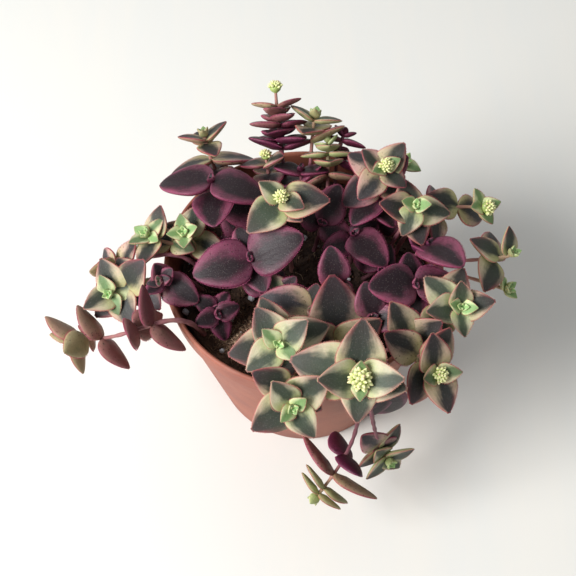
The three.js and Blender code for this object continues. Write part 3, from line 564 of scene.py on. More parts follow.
def routeOf(plan):
    # A cubic Bezier curve from root to tip, with its heading and one side of it at each step.
    root = np.array([*plan["root"], growth["soilLevel"] - growth["rootDepth"]], float)
    tip = np.array(plan["tip"], float)
    lean = unit(np.array([tip[0] - root[0], tip[1] - root[1], 0]))
    if plan["via"]:
        first, second = np.array(plan["via"], float)
    else:
        first = root + unit(growth["rootLean"] * lean + [0, 0, 1]) * plan["rise"][0]
        second = tip - direction(*plan["aim"]) * plan["rise"][1]
    t = np.linspace(0, 1, growth["routeSteps"] + 1)[:, None]
    points = ((1 - t) ** 3 * root + 3 * (1 - t) ** 2 * t * first + 3 * (1 - t) * t ** 2 * second
              + t ** 3 * tip)
    steps = np.linalg.norm(np.diff(points, axis=0), axis=1)
    distances = np.concatenate([[0], np.cumsum(steps)])
    following = np.concatenate([points[1:], points[-1:]])
    before = np.concatenate([points[:1], points[:-1]])
    heads = unit(following - before)
    sides = np.zeros_like(points)
    side = np.array([1.0, 0, 0])
    for i in range(len(points) - 1, -1, -1):
        side = unit(side - heads[i] * (side @ heads[i]))
        sides[i] = side
    return {"points": points, "distances": distances, "heads": heads, "sides": sides,
            "length": distances[-1]}


def placeOn(route, back):
    # The point that far back from the tip, with the heading, a side of it and the third axis.
    along = min(max(route["length"] - back, 0), route["length"])
    i = int(np.clip(np.searchsorted(route["distances"], along, side="right") - 1, 0,
                    growth["routeSteps"] - 1))
    share = (along - route["distances"][i]) / (route["distances"][i + 1] - route["distances"][i])
    point, head, side = (route[key][i] * (1 - share) + route[key][i + 1] * share
                         for key in ("points", "heads", "sides"))
    head, side = unit(head), unit(side)
    return point, head, side, np.cross(head, side)


def leavesOf(plan, route):
    # Leaves near the tip stand about its aim and those far below it about the stem's heading.
    leaves = []
    for distance, length, turned, openA, openB in plan["pairs"]:
        point, head, side, across = placeOn(route, distance)
        low = smoothStep(distance, growth["lightReach"], 3 * growth["lightReach"])
        head = unit(direction(*plan["aim"]) * (1 - low) + head * low)
        across = unit(np.cross(head, side))
        beside = np.cross(across, head)
        turn = math.radians(turned)
        young, aged = plan["age"]
        age = young + (aged - young) * float(smoothStep(distance, 0, growth["ageReach"]))
        for sign, opened in ((1, openA), (-1, openB)):
            if opened is None:
                continue
            outward = sign * (beside * math.cos(turn) + across * math.sin(turn))
            o = math.radians(opened)
            leaves.append({"base": point, "axis": outward * math.sin(o) + head * math.cos(o),
                           "normal": head * math.sin(o) - outward * math.cos(o),
                           "length": length, "age": age})
    return leaves


def bentAxes(leaf, bend):
    # The blade's three axes (outwards, across and up) after its bend.
    tilt, swing = math.radians(bend[1]), math.radians(bend[2])
    rise = leaf["normal"] * math.cos(tilt) - leaf["axis"] * math.sin(tilt)
    raised = leaf["axis"] * math.cos(tilt) + leaf["normal"] * math.sin(tilt)
    beside = np.cross(raised, rise)
    out = raised * math.cos(swing) + beside * math.sin(swing)
    return np.array([out, np.cross(out, rise), rise])


def bladeShape(u, age):
    # sin(pi u^0.64) to a power that is smaller, and so blunter, in an old leaf.
    wave = np.maximum(np.sin(np.pi * np.clip(u, 0, 1) ** 0.64), 0)
    return np.maximum(growth["petiole"], wave ** (growth["bladeTaper"] - growth["bladeBlunt"] * age))


def bladeRise(u, length, cupped):
    # The blade droops by length u^2 and its edges are cupped up by their share of the width.
    return -growth["leafDroop"] * length * u * u + growth["leafCup"] * cupped


def solidCorners(leaf, bend):
    # The corners that the leaf's solid has with that bend: its point, then the rings' edges.
    length = leaf["length"] * bend[0]
    width = length * growth["leafWidth"]
    rows = (0.36,) if leaf["length"] < 9 else (0.26, 0.7) if leaf["length"] < 20 else (0.48, 0.82)
    local = [(length, 0, bladeRise(1, length, 0))]
    for u in rows:
        wide = width * float(bladeShape(u, leaf["age"]))
        local += [(length * u, side * wide, bladeRise(u, length, wide)) for side in (0.5, -0.5)]
    return leaf["base"] + np.array(local) @ bentAxes(leaf, bend)


def settledBend(leaf, corners):
    # The bend whose corners are corners of the solid, or None where the solid shows no such leaf.
    best, found = None, 1
    for bend in bends:
        wanted = solidCorners(leaf, bend)
        gaps = np.linalg.norm(corners[None] - wanted[:, None], axis=2).min(1)
        hits = int((gaps < growth["meeting"]).sum())
        if hits > found:
            best, found = bend, hits
        if hits == len(wanted):
            break
    return best


# the plant
leafLook = {
    "rows": 20, "columns": 26, "smallRows": 12, "smallColumns": 16, "smallBelow": 9.0,
    "firstRow": 0.035, "lastRow": 0.975, "topBulge": 0.3, "oldBulge": 0.4, "underBulge": 0.94,
    "lens": 0.8, "groove": 0.16, "grooveWidth": 0.16, "wave": 0.012, "widthSpread": 0.05,
    "ageSpread": 0.16, "ciliaStep": 0.7, "ciliaLength": 0.42, "ciliaWidth": 0.2, "ciliaLeast": 7.0,
    "ciliaFrom": 0.1, "ciliaSpan": 0.87, "ciliaLift": 0.15, "ciliaForward": 0.35,
    "freshFrom": 13.0, "freshTo": 6.0,
}


def leafSkin(leaf, axes, length, look, draw):
    # x = length u; y = half(u) cos t; z = -droop length u^2 + cup width shape (y/half)^2
    # plus the lens sin(t)^lens, times the body above or the body below, less the groove.
    small = length < leafLook["smallBelow"]
    rows = leafLook["smallRows" if small else "rows"]
    columns = leafLook["smallColumns" if small else "columns"]
    even = np.linspace(leafLook["firstRow"], leafLook["lastRow"], rows)
    u = (0.5 - 0.5 * np.cos(np.pi * even))[:, None]
    t = turnsOf(columns)[None]
    width = length * growth["leafWidth"] * (1 + leafLook["widthSpread"] * (draw[0] - 0.7))
    shape = bladeShape(u, leaf["age"])
    ripple = 1 + leafLook["wave"] * np.sin(9 * u + 6 * draw[1]) * np.sign(np.cos(t))
    share = np.cos(t)
    thick = growth["leafThickLeast"] + growth["leafThick"] * length
    body = thick * np.minimum(1, 0.5 + 2 * u) * np.sqrt(np.maximum(1 - u ** 2.5, 0.02))
    lens = np.abs(np.sin(t)) ** leafLook["lens"]
    upper = np.sin(t) > 0
    bulge = leafLook["topBulge"] + leafLook["oldBulge"] * leaf["age"]
    swell = np.where(upper, bulge * body, -leafLook["underBulge"] * body) * lens
    trough = np.exp(-(share / leafLook["grooveWidth"]) ** 2)
    groove = leafLook["groove"] * trough * upper * (1 - u) * body
    z = bladeRise(u, length, width * shape * share ** 2) + swell - groove
    local = np.stack(np.broadcast_arrays(length * u, 0.5 * width * shape * share * ripple, z), -1)
    base = leaf["base"]
    foot = base + np.array([0.004 * length, 0, -0.25 * thick]) @ axes
    head = base + np.array([length, 0, bladeRise(1, length, 0)]) @ axes
    uv = np.stack(np.broadcast_arrays(u, 0.5 + 0.5 * share), -1).reshape(-1, 2)
    uv = np.concatenate([uv, [[0.0, 0.5], [1.0, 0.5]]])
    faceSide = np.tile(smoothStep(np.sin(t[0]), -0.25, 0.05), rows)
    looks = dict(look, leafFace=np.concatenate([faceSide, [0.0, 0.6]]))
    return closedSkin(base + local @ axes, foot, head, looks, 0, uv)


def ciliaOn(leaf, axes, length, look, rng):
    # Short four-sided spikes along both edges, each a ring of four round its foot and a point.
    width = length * growth["leafWidth"]
    count = int(length * 1.1 / leafLook["ciliaStep"])
    spread = (np.arange(count) + 0.5 * rng.random(count)) / count
    u = np.tile(leafLook["ciliaFrom"] + leafLook["ciliaSpan"] * spread, 2)
    side = np.repeat([1.0, -1.0], count)
    shape = bladeShape(u, leaf["age"])
    edge = np.stack([length * u, side * 0.5 * width * shape,
                     bladeRise(u, length, width * shape)], -1)
    ahead = bladeShape(u + 0.01, leaf["age"]) - bladeShape(u - 0.01, leaf["age"])
    tangent = unit(np.stack([np.full_like(u, 0.02 * length), side * 0.5 * width * ahead, 0 * u], -1))
    out = np.stack([-tangent[:, 1] * side, tangent[:, 0] * side,
                    np.full_like(u, leafLook["ciliaLift"])], -1)
    out = unit(out + leafLook["ciliaForward"] * tangent + 0.25 * (rng.random((2 * count, 3)) - 0.5))
    flat = unit(np.cross(out, [0, 0, 1.0]))
    third = np.cross(out, flat)
    reach = leafLook["ciliaLength"] * (0.6 + 0.6 * rng.random(2 * count))[:, None]
    wide = leafLook["ciliaWidth"]
    feet = edge - 0.08 * out
    corners = [feet + wide * flat, feet + wide * third, feet - wide * flat, feet - wide * third,
               feet + reach * out]
    local = np.stack(corners, 1).reshape(-1, 3)
    start = 5 * np.arange(2 * count)[:, None]
    fan = np.array([[0, 1, 4], [1, 2, 4], [2, 3, 4], [3, 0, 4]])
    triangles = (start[:, :, None] + fan[None]).reshape(-1, 3)
    quads = start + np.array([[3, 2, 1, 0]])
    if np.linalg.det(axes) < 0:
        triangles, quads = triangles[:, ::-1], quads[:, ::-1]
    return {"points": (leaf["base"] + local @ axes) * mm, "quads": quads, "triangles": triangles,
            "uv": np.tile(np.linspace(0, 1, 5)[:, None], (2 * count, 2)), "looks": look, "slot": 2}


stemLook = {"sides": 10, "step": 1.6, "root": 1.25, "tip": 0.62, "knot": 0.22, "knotReach": 1.6,
            "wander": 0.12, "ageReach": 30, "uvLength": 10}


def stemSkin(plan, route, seed):
    # The route's rings: radius from root to tip, with a knot exp(-(d/reach)^2) at each pair.
    sides = stemLook["sides"]
    count = max(6, int(route["length"] / stemLook["step"]))
    backs = np.linspace(route["length"], 0, count)
    places = [placeOn(route, back) for back in backs]
    centre, head, side, across = (np.array([place[i] for place in places]) for i in range(4))
    radius = np.linspace(stemLook["root"], stemLook["tip"], count)
    for row in plan["pairs"]:
        radius += stemLook["knot"] * np.exp(-((backs - row[0]) / stemLook["knotReach"]) ** 2)
    radius += stemLook["wander"] * np.sin(backs * 0.9 + seed) * (radius > 0.8)
    girth = np.tile(radius[:, None], sides)
    rings = ringsAbout(centre, side[:, None], across[:, None], girth)
    u = np.repeat(backs / stemLook["uvLength"], sides)
    v = np.tile(np.abs(np.linspace(-1, 1, sides)), count)
    uv = np.concatenate([np.stack([u, v], -1), [[0, 0], [0, 0]]])
    young, old = plan["age"]
    share = np.repeat(young + (old - young) * smoothStep(backs, 0, stemLook["ageReach"]), sides)
    looks = {"leafAge": np.concatenate([share, share[:1], share[-1:]])}
    return closedSkin(rings, centre[0] - head[0] * 0.3, centre[-1] + head[-1] * 0.35, looks, 1, uv)


budLook = {"buds": 32, "length": 0.5, "radius": 0.2, "rows": 7, "columns": 7, "dome": 1.15,
           "seat": 0.483, "lift": 0.35, "scatter": 0.22, "taper": 0.35, "ribs": 0.08,
           "heartRows": 7, "heartColumns": 12, "heartGirth": 0.62, "heartHeight": 1.15}


def budSkin(start, out, wide, reach, thick, seed):
    # A pointed bud of girth thick sin(pi u^0.8)^0.7 (1 - taper u), with five low ribs.
    u = np.linspace(0.06, 0.94, budLook["rows"])[:, None]
    t = turnsOf(budLook["columns"])[None]
    girth = (thick * np.sin(np.pi * u ** 0.8) ** 0.7 * (1 - budLook["taper"] * u)
             * (1 + budLook["ribs"] * np.cos(5 * t)))
    rings = ringsAbout(start + out * (reach * u), wide, np.cross(out, wide), girth)
    uv = np.stack(np.broadcast_arrays(u, t / 6.3), -1).reshape(-1, 2)
    uv = np.concatenate([uv, [[0, 0], [1, 0]]])
    looks = {"leafSeed": seed, "leafFresh": 1.0}
    return closedSkin(rings, start, start + out * reach, looks, 3, uv)


def heartSkin(tip, head, side, across, radius):
    # The green heart that the buds stand on: rings of girth sin(pi u) along the stem's heading.
    u = np.linspace(0.08, 0.92, budLook["heartRows"])[:, None]
    girth = np.tile(budLook["heartGirth"] * radius * np.sin(np.pi * u), budLook["heartColumns"])
    lift = (budLook["heartHeight"] * u - 0.4) * radius
    rings = ringsAbout(tip + head * lift, side, across, girth)
    uv = np.concatenate([np.full((girth.size, 2), 0.15), [[0, 0], [0.2, 0]]])
    return closedSkin(rings, tip - head * 0.42 * radius, tip + head * 0.78 * radius,
                      {"leafSeed": 0.2}, 3, uv)


def budsOf(plan, route, rng):
    # Buds spread over a dome by the golden angle, each leaning a little up and at random.
    radius = plan["head"]
    tip, head, side, across = placeOn(route, 0)
    middle = tip + head * 0.2 * radius
    parts = []
    for i in range(budLook["buds"]):
        rise = 1 - budLook["dome"] * (i + 0.4) / budLook["buds"]
        angle = i * np.pi * (3 - math.sqrt(5))
        flat = math.sqrt(max(0, 1 - rise * rise))
        out = unit(head * rise + (side * math.cos(angle) + across * math.sin(angle)) * flat)
        out = unit(out + budLook["lift"] * head + budLook["scatter"] * (rng.random(3) - 0.5))
        wide = unit(np.cross(out, across + 0.01))
        reach = radius * budLook["length"] * (0.8 + 0.35 * rng.random())
        thick = radius * budLook["radius"] * (0.85 + 0.3 * rng.random())
        start = middle + out * radius * budLook["seat"]
        parts.append(budSkin(start, out, wide, reach, thick, rng.random()))
    return parts + [heartSkin(tip, head, side, across, radius)]


def tipLeaves(plan, route):
    # Two more pairs of tiny leaves that close a stem's tip, a quarter turn from each other.
    turned = plan["pairs"][0][2]
    small = dict(plan, pairs=[(-0.2, 3.8, turned + 90, 30, 30), (-0.8, 2.6, turned + 180, 16, 16)])
    return leavesOf(small, route)


def solidPoints(node):
    mesh = frame["nodes"][node].data
    corners = np.zeros(3 * len(mesh.vertices), np.float32)
    mesh.vertices.foreach_get("co", corners)
    return corners.reshape(-1, 3) / mm


def growthOf(plan, route, seed, rng):
    # A stem's skin, its leaves with their cilia, and its buds or its tip's smallest leaves.
    parts = [stemSkin(plan, route, seed)]
    corners = solidPoints("stem_" + plan["name"])
    young = plan["age"][0]
    lost = 0
    for leaf in leavesOf(plan, route):
        draw = rng.random(3)
        bend = settledBend(leaf, corners)
        if bend is None:
            lost += 1
            continue
        length = leaf["length"] * bend[0]
        age = leaf["age"] + leafLook["ageSpread"] * (draw[2] - 0.5)
        fresh = (1 - smoothStep(length, leafLook["freshTo"], leafLook["freshFrom"])) * (age < 0.6)
        look = {"leafAge": float(np.clip(age, 0, 1)), "leafSeed": draw[0],
                "leafFresh": 0.9 * fresh * (1 - 0.8 * young)}
        axes = bentAxes(leaf, bend)
        parts.append(leafSkin(leaf, axes, length, look, draw))
        if length > leafLook["ciliaLeast"]:
            parts.append(ciliaOn(leaf, axes, length, look, rng))
    if plan["head"]:
        return parts + budsOf(plan, route, rng), lost
    for leaf in tipLeaves(plan, route):
        look = {"leafAge": young, "leafSeed": rng.random(), "leafFresh": max(0, 1 - 1.3 * young)}
        parts.append(leafSkin(leaf, bentAxes(leaf, (1, 0, 0)), leaf["length"], look, rng.random(3)))
    return parts, lost


def makePlant():
    materials = [leafMaterial(), stemMaterial(), ciliaMaterial(), budMaterial()]
    allLost = 0
    for order, plan in enumerate(stemPlan):
        rng = np.random.default_rng(500 + order)
        parts, lost = growthOf(plan, routeOf(plan), order, rng)
        makePiece(plan["name"] + "_growth", parts, materials, "stem_" + plan["name"])
        allLost += lost
    print("plant:", len(stemPlan), "stems,", allLost, "leaves without a match in the solids")


# the pot
potLook = {
    "height": 96, "rim": 60, "foot": 44, "wall": 1.7, "floor": 2.4, "band": 11, "step": 2.0,
    "bandRound": 0.6, "footRound": 1, "lipRound": 0.8, "lipFlat": 0.7, "flatShare": 0.55,
    "cornerShare": 0.3, "cornerLength": 0.35, "columns": 180, "drainRadius": 4,
    "drainCircle": 27, "drains": 6, "drainSides": 24, "bright": "a4634e", "dull": "894f42",
    "dust": "b18a7a",
}
bandBase = potLook["height"] - potLook["band"]
bodyTop = potLook["rim"] - potLook["step"]


def insideRadius(z):
    # The pot's wall is a cone from its foot to its band; this is its inner side.
    slope = (bodyTop - potLook["foot"]) / bandBase
    return potLook["foot"] + slope * z - potLook["wall"]


def potMaterial():
    # Terracotta-coloured plastic: slow clouds, fine grain, faint rings from the mould.
    material, wire = startMaterial("potPlastic")
    place = objectPlace(wire)
    clouds = noise(wire, place, 28.0, 3.0, 0.55)
    grain = noise(wire, place, 1600.0, 2.0)
    dust = noise(wire, place, 75.0, 4.0, 0.7).ease(0.55, 0.8) * 0.25
    rings = wire.maths("SINE", wire.node("SeparateXYZ", {}, {0: place}, out=2) * 5200.0)
    color = clouds.ease(0.3, 0.7).mix(paint(potLook["dull"]), paint(potLook["bright"]))
    color = dust.mix(color, paint(potLook["dust"]))
    endMaterial(wire, color, 0.48 + grain * 0.12 + clouds * 0.1, grain * 0.7 + rings * 0.12, 0.00008,
                Specular_IOR_Level=0.4)
    return material


def potProfile():
    # Half outline from the middle of the underside, up the outside and down the inside, each
    # corner rounded by (1-t)^2 back + 2t(1-t) corner + t^2 on, so that it shades as a radius.
    foot, height, rim, floor = (potLook[key] for key in ("foot", "height", "rim", "floor"))
    lipRound, lipFlat, bandRound = (potLook[key] for key in ("lipRound", "lipFlat", "bandRound"))
    corners = [(foot - potLook["footRound"], 0), (foot, potLook["footRound"]), (bodyTop, bandBase),
               (rim - lipRound, bandBase + bandRound), (rim, height - lipRound),
               (rim - lipRound, height), (rim - lipRound - lipFlat, height),
               (rim - lipRound - 2 * lipFlat, height - lipRound),
               (insideRadius(bandBase), bandBase - 1), (insideRadius(floor), floor)]
    ring = [(0.0, 0.0), *corners, (0.0, floor)]
    rows = [(foot * potLook["flatShare"], 0.0)]
    for before, corner, after in zip(ring, ring[1:], ring[2:]):
        spot, toward, away = np.array(corner), np.array(before) - corner, np.array(after) - corner
        back, on = (spot + leg * min(potLook["cornerShare"],
                                     potLook["cornerLength"] / np.linalg.norm(leg))
                    for leg in (toward, away))
        rows += [(1 - t) ** 2 * back + 2 * t * (1 - t) * spot + t * t * on
                 for t in (0, 0.25, 0.5, 0.75, 1)]
    rows.append((foot * potLook["flatShare"], floor))
    return np.array(rows)


def carriedRound(profile, columns):
    # A profile of radius and height carried round the upright axis.
    t = turnsOf(columns)
    return np.stack([profile[:, :1] * np.cos(t), profile[:, :1] * np.sin(t),
                     profile[:, 1:] + 0 * t], -1)


def drainDrill():
    # Upright prisms through the floor, evenly round a circle.
    drills = []
    for angle in turnsOf(potLook["drains"]):
        centre = np.array([math.cos(angle), math.sin(angle), 0]) * potLook["drainCircle"]
        low, high = centre + [0, 0, -3.0], centre + [0, 0, 6.0]
        girth = np.full((2, potLook["drainSides"]), potLook["drainRadius"])
        rings = ringsAbout(np.array([low, high]), np.array([1, 0, 0]), np.array([0, 1, 0]), girth)
        drills.append(closedSkin(rings, low, high, {}, 0))
    return makeObject("drainDrill", makeMesh("drainDrill", drills))


def makePot():
    rings = carriedRound(potProfile(), potLook["columns"])
    skin = closedSkin(rings, np.zeros(3), np.array([0, 0, potLook["floor"]]), {}, 0)
    pot = makePiece("nursery_pot", [skin], [potMaterial()], "pot")
    drill = drainDrill()
    cut = pot.modifiers.new("drains", "BOOLEAN")
    cut.operation, cut.solver, cut.object = "DIFFERENCE", "EXACT", drill
    bpy.context.view_layer.update()
    cutMesh = bpy.data.meshes.new_from_object(
        pot.evaluated_get(bpy.context.evaluated_depsgraph_get()))
    pot.modifiers.clear()
    pot.data = cutMesh
    bpy.data.objects.remove(drill)
    normals = np.zeros(3 * len(cutMesh.polygons), np.float32)
    cutMesh.polygons.foreach_get("normal", normals)
    cutMesh.polygons.foreach_set("use_smooth", np.abs(normals.reshape(-1, 3)[:, 2]) < 0.99)
    print("pot:", len(cutMesh.polygons), "faces")


# the mix
mixLook = {
    "level": 82, "relief": 1.1, "rough": 0.9, "radius": 54.1, "rings": 90, "columns": 220,
    "sideHeights": (78.0, 60.0, 40.0, 20.0, 3.6), "wallGap": 0.45, "footRadius": 40.0,
    "footHeight": 3.0, "mound": (-30.0, -28.0, 9.0), "moundLift": 2.2, "moundShare": 0.4,
    # the first lift in this row is painted light: how far the peat is painted paler round the mound
    "paintedLightLift": 0.2, "crumbs": 2600, "crumbSmall": 0.35, "crumbLarge": 1.5, "fibres": 800,
    "fibreSteps": 7, "fibreShort": 1.4, "fibreLong": 7.0, "fibreLift": 0.9,
    "grains": 48, "grainSmall": 0.5, "grainLarge": 1.8,
    "shownGrains": [(-32.9, -19.9, 2.1), (-35.9, -35.1, 1.5), (-51.5, -16.0, 1.6), (20.1, 0.4, 1.9),
                    (32.2, -16.9, 1.6)],
}

mixColors = {
    "peat": [(0.0, "1c1310"), (0.4, "3e2c23"), (0.7, "674c3a"), (1.0, "967557")],
    "fibre": [(0.0, "3a281e"), (0.5, "7c5d49"), (0.85, "b09378"), (1.0, "cdb497")],
    "perlite": [(0.0, "9a979a"), (0.4, "cfced4"), (1.0, "eeeef2")],
}


def paintedLightShare(wire, place):
    # Painted light: the peat is painted paler round the low mound, and less so the farther away it
    # lies, as if more light fell on it there.
    middleX, middleY, reach = mixLook["mound"]
    middle = (middleX * mm, middleY * mm, mixLook["level"] * mm)
    away = wire.node("VectorMath", {"operation": "DISTANCE"}, {0: place, 1: middle}, out=1)
    return 1.0 - away.ease(reach * mm, 3 * reach * mm)


def peatMaterial():
    # Dark crumbs, clouded and grained, painted paler round the low mound as painted light.
    material, wire = startMaterial("darkPeat")
    place = objectPlace(wire)
    clouds = noise(wire, place, 260.0, 4.0, 0.65)
    grain = noise(wire, place, 1300.0, 3.0, 0.6)
    # painted light: the peat painted paler round the mound
    paintedLight = paintedLightShare(wire, place) * mixLook["paintedLightLift"]
    light = clouds * 0.7 + grain * 0.4 + attribute(wire, "leafSeed") * 0.35 - 0.25 + paintedLight
    endMaterial(wire, light.ramp(mixColors["peat"]), 0.82 + grain * 0.15, grain + clouds, 0.0006)
    return material


def fibreMaterial():
    # Brown to straw, a tone for each fibre, painted a little paler round the mound as painted light.
    material, wire = startMaterial("peatFibre")
    place = objectPlace(wire)
    grain = noise(wire, place, 700.0, 2.0)
    # painted light: the fibres painted a little paler round the mound
    paintedLight = paintedLightShare(wire, place) * mixLook["paintedLightLift"] * 0.2
    light = attribute(wire, "leafSeed") * 0.8 + grain * 0.3 + paintedLight
    endMaterial(wire, light.ramp(mixColors["fibre"]), 0.8 + grain * 0.1, grain, 0.0001)
    return material


def perliteMaterial():
    # Chalky white with grey pits.
    material, wire = startMaterial("perliteGrain")
    place = objectPlace(wire)
    cells = cellNoise(wire, place, 2100.0)
    clouds = noise(wire, place, 500.0, 3.0)
    color = (clouds * 0.6 + cells * 0.5).ramp(mixColors["perlite"])
    endMaterial(wire, color, 0.7 + clouds * 0.2, cells + clouds * 0.5, 0.0003)
    return material


def valueNoise(x, y, seed):
    # Random heights on a unit lattice, eased between its corners.
    lattice = np.random.default_rng(seed).random((64, 64))
    i, j = np.floor(x).astype(int), np.floor(y).astype(int)
    fx, fy = smoothStep(x - i, 0, 1), smoothStep(y - j, 0, 1)
    near, far = (lattice[i % 64, (j + b) % 64] * (1 - fx) + lattice[(i + 1) % 64, (j + b) % 64] * fx
                 for b in (0, 1))
    return near * (1 - fy) + far * fy


def mixHeight(x, y):
    # Slow swells, as in the solid, plus three octaves of crumbs and a low mound exp(-(d/r)^2).
    swell = np.sin(0.17 * x + 0.6) * np.cos(0.15 * y) + 0.6 * np.sin(0.31 * x - 0.27 * y + 1.1)
    fine = sum((valueNoise(x * f + 90, y * f + 90, 3 + k) - 0.5) / (k + 1)
               for k, f in enumerate((0.5, 1.1, 2.3)))
    middleX, middleY, reach = mixLook["mound"]
    mound = mixLook["moundLift"] * np.exp(-((x - middleX) ** 2 + (y - middleY) ** 2) / reach ** 2)
    return mixLook["level"] + mixLook["relief"] * swell + mixLook["rough"] * fine + mound


def lumps(x, y, sizes, raised, rng, slot, ball, jitter):
    # One small ball at each place, its corners pushed in and out at random and squashed.
    corners, faces = ball
    count = len(sizes)
    centres = np.stack([x, y, mixHeight(x, y) + raised * sizes], -1)
    push = 1 + jitter * (rng.random((count, len(corners), 1)) - 0.5)
    squash = 0.6 + 0.5 * rng.random((count, 1, 3))
    axes = np.linalg.qr(rng.normal(size=(count, 3, 3)))[0]
    axes *= np.sign(np.linalg.det(axes))[:, None, None]
    local = corners[None] * push * squash * sizes[:, None, None]
    points = centres[:, None] + np.einsum("nij,njk->nik", local, axes)
    triangles = (np.arange(count)[:, None, None] * len(corners) + faces[None]).reshape(-1, 3)
    looks = {"leafSeed": np.repeat(rng.random(count), len(corners))}
    return {"points": points.reshape(-1, 3) * mm, "uv": np.zeros((count * len(corners), 2)),
            "quads": np.zeros((0, 4), int), "triangles": triangles, "looks": looks, "slot": slot}


def roundBall(levels):
    # An icosahedron whose faces are split into four, levels times, its corners on a sphere.
    g = (1 + math.sqrt(5)) / 2
    points = np.array([(-1, g, 0), (1, g, 0), (-1, -g, 0), (1, -g, 0), (0, -1, g), (0, 1, g),
                       (0, -1, -g), (0, 1, -g), (g, 0, -1), (g, 0, 1), (-g, 0, -1), (-g, 0, 1)])
    faces = np.array([(0, 11, 5), (0, 5, 1), (0, 1, 7), (0, 7, 10), (0, 10, 11), (1, 5, 9),
                      (5, 11, 4), (11, 10, 2), (10, 7, 6), (7, 1, 8), (3, 9, 4), (3, 4, 2),
                      (3, 2, 6), (3, 6, 8), (3, 8, 9), (4, 9, 5), (2, 4, 11), (6, 2, 10),
                      (8, 6, 7), (9, 8, 1)])
    for _ in range(levels):
        edges = np.sort(np.concatenate([faces[:, [0, 1]], faces[:, [1, 2]], faces[:, [2, 0]]]), 1)
        pairs, back = np.unique(edges, axis=0, return_inverse=True)
        ab, bc, ca = len(points) + back.reshape(3, -1)
        points = np.concatenate([points, (points[pairs[:, 0]] + points[pairs[:, 1]]) / 2])
        a, b, c = faces.T
        faces = np.concatenate([np.stack(f, -1) for f in ((a, ab, ca), (b, bc, ab), (c, ca, bc),
                                                          (ab, bc, ca))])
    return unit(points), faces


def scattered(count, share, rng):
    # Places spread evenly over a disc, that share of the mix's width.
    spread = share * mixLook["radius"] * np.sqrt(rng.random(count))
    angle = 2 * np.pi * rng.random(count)
    return spread * np.cos(angle), spread * np.sin(angle)


def sizesOf(kind, count, power, rng):
    # Sizes between the kind's smallest and largest; a higher power makes more small ones.
    small, large = mixLook[kind + "Small"], mixLook[kind + "Large"]
    return small + (large - small) * rng.random(count) ** power


def fibresOn(rng):
    # Thin three-sided tubes along short arcs that lie on the mix, many of them on the mound.
    count, steps = mixLook["fibres"], mixLook["fibreSteps"]
    start = np.stack(scattered(count, 0.95, rng), -1)
    near = rng.random(count) < mixLook["moundShare"]
    start[near] = mixLook["mound"][:2] + 0.6 * mixLook["mound"][2] * rng.normal(size=(near.sum(), 2))
    heading = 2 * np.pi * rng.random(count)[:, None]
    heading = heading + (rng.random(count)[:, None] - 0.5) * np.linspace(0, 3.4, steps)[None]
    reach = mixLook["fibreShort"] + mixLook["fibreLong"] * rng.random(count) ** 2
    reach = reach[:, None] / steps
    x = start[:, :1] + np.cumsum(reach * np.cos(heading), 1)
    y = start[:, 1:] + np.cumsum(reach * np.sin(heading), 1)
    inside = np.minimum(1, 0.97 * mixLook["radius"] / np.maximum(np.hypot(x, y), 1e-6))
    x, y = x * inside, y * inside
    arch = mixLook["fibreLift"] * np.sin(np.linspace(0, np.pi, steps))
    lift = arch[None] * rng.random(count)[:, None]
    centre = np.stack([x, y, mixHeight(x, y) + 0.15 + lift], -1)
    width = (0.1 + 0.16 * rng.random(count))[:, None, None, None]
    beside = np.stack([-np.sin(heading), np.cos(heading), 0 * heading], -1)
    t = turnsOf(3)[:, None]
    rings = centre[:, :, None] + width * (beside[:, :, None] * np.cos(t) + [0, 0, 1.0] * np.sin(t))
    first = np.arange(count)[:, None, None] * steps * 3
    ends = np.array([[2, 1, 0], [3 * steps - 3, 3 * steps - 2, 3 * steps - 1]])
    return {"points": rings.reshape(-1, 3) * mm, "uv": np.zeros((count * steps * 3, 2)),
            "quads": (first + gridFaces(steps, 3)).reshape(-1, 4),
            "triangles": (first + ends).reshape(-1, 3),
            "looks": {"leafSeed": np.repeat(rng.random(count), steps * 3)}, "slot": 1}


def mixBody():
    # The top from its middle out to the wall, then the side and the underside, as one grid.
    t = turnsOf(mixLook["columns"])[None]
    spread = (mixLook["radius"] * np.linspace(0.01, 1, mixLook["rings"]))[:, None]
    x, y = spread * np.cos(t), spread * np.sin(t)
    top = np.stack([x, y, mixHeight(x, y)], -1)
    side = [(insideRadius(z) - mixLook["wallGap"], z) for z in mixLook["sideHeights"]]
    side.append((mixLook["footRadius"], mixLook["footHeight"]))
    rings = np.concatenate([top, carriedRound(np.array(side), mixLook["columns"])])
    middle = np.array([0, 0, float(mixHeight(np.array(0.0), np.array(0.0)))])
    underside = np.array([0, 0, mixLook["footHeight"]])
    return closedSkin(rings, middle, underside, {"leafSeed": 0.3}, 0)


def makeMix():
    materials = [peatMaterial(), fibreMaterial(), perliteMaterial()]
    rng = np.random.default_rng(41)
    count = mixLook["crumbs"]
    x, y = scattered(count, 0.97, rng)
    crumbs = lumps(x, y, sizesOf("crumb", count, 3, rng), 0.15, rng, 0, roundBall(0), 0.7)
    makePiece("potting_mix_bed", [mixBody(), crumbs], materials, "potting_mix")
    makePiece("potting_mix_fibres", [fibresOn(rng)], materials, "potting_mix", standsFor=False)
    count = mixLook["grains"]
    x, y = scattered(count, 0.95, rng)
    places = zip((x, y, sizesOf("grain", count, 1.6, rng)), np.transpose(mixLook["shownGrains"]))
    x, y, sizes = (np.append(drawn, shown) for drawn, shown in places)
    grains = lumps(x, y, sizes, 0.35, rng, 2, roundBall(1), 0.45)
    makePiece("perlite_grains", [grains], materials, "potting_mix", standsFor=False)
    print("mix:", mixLook["crumbs"], "crumbs,", mixLook["fibres"], "fibres,", len(sizes), "grains")


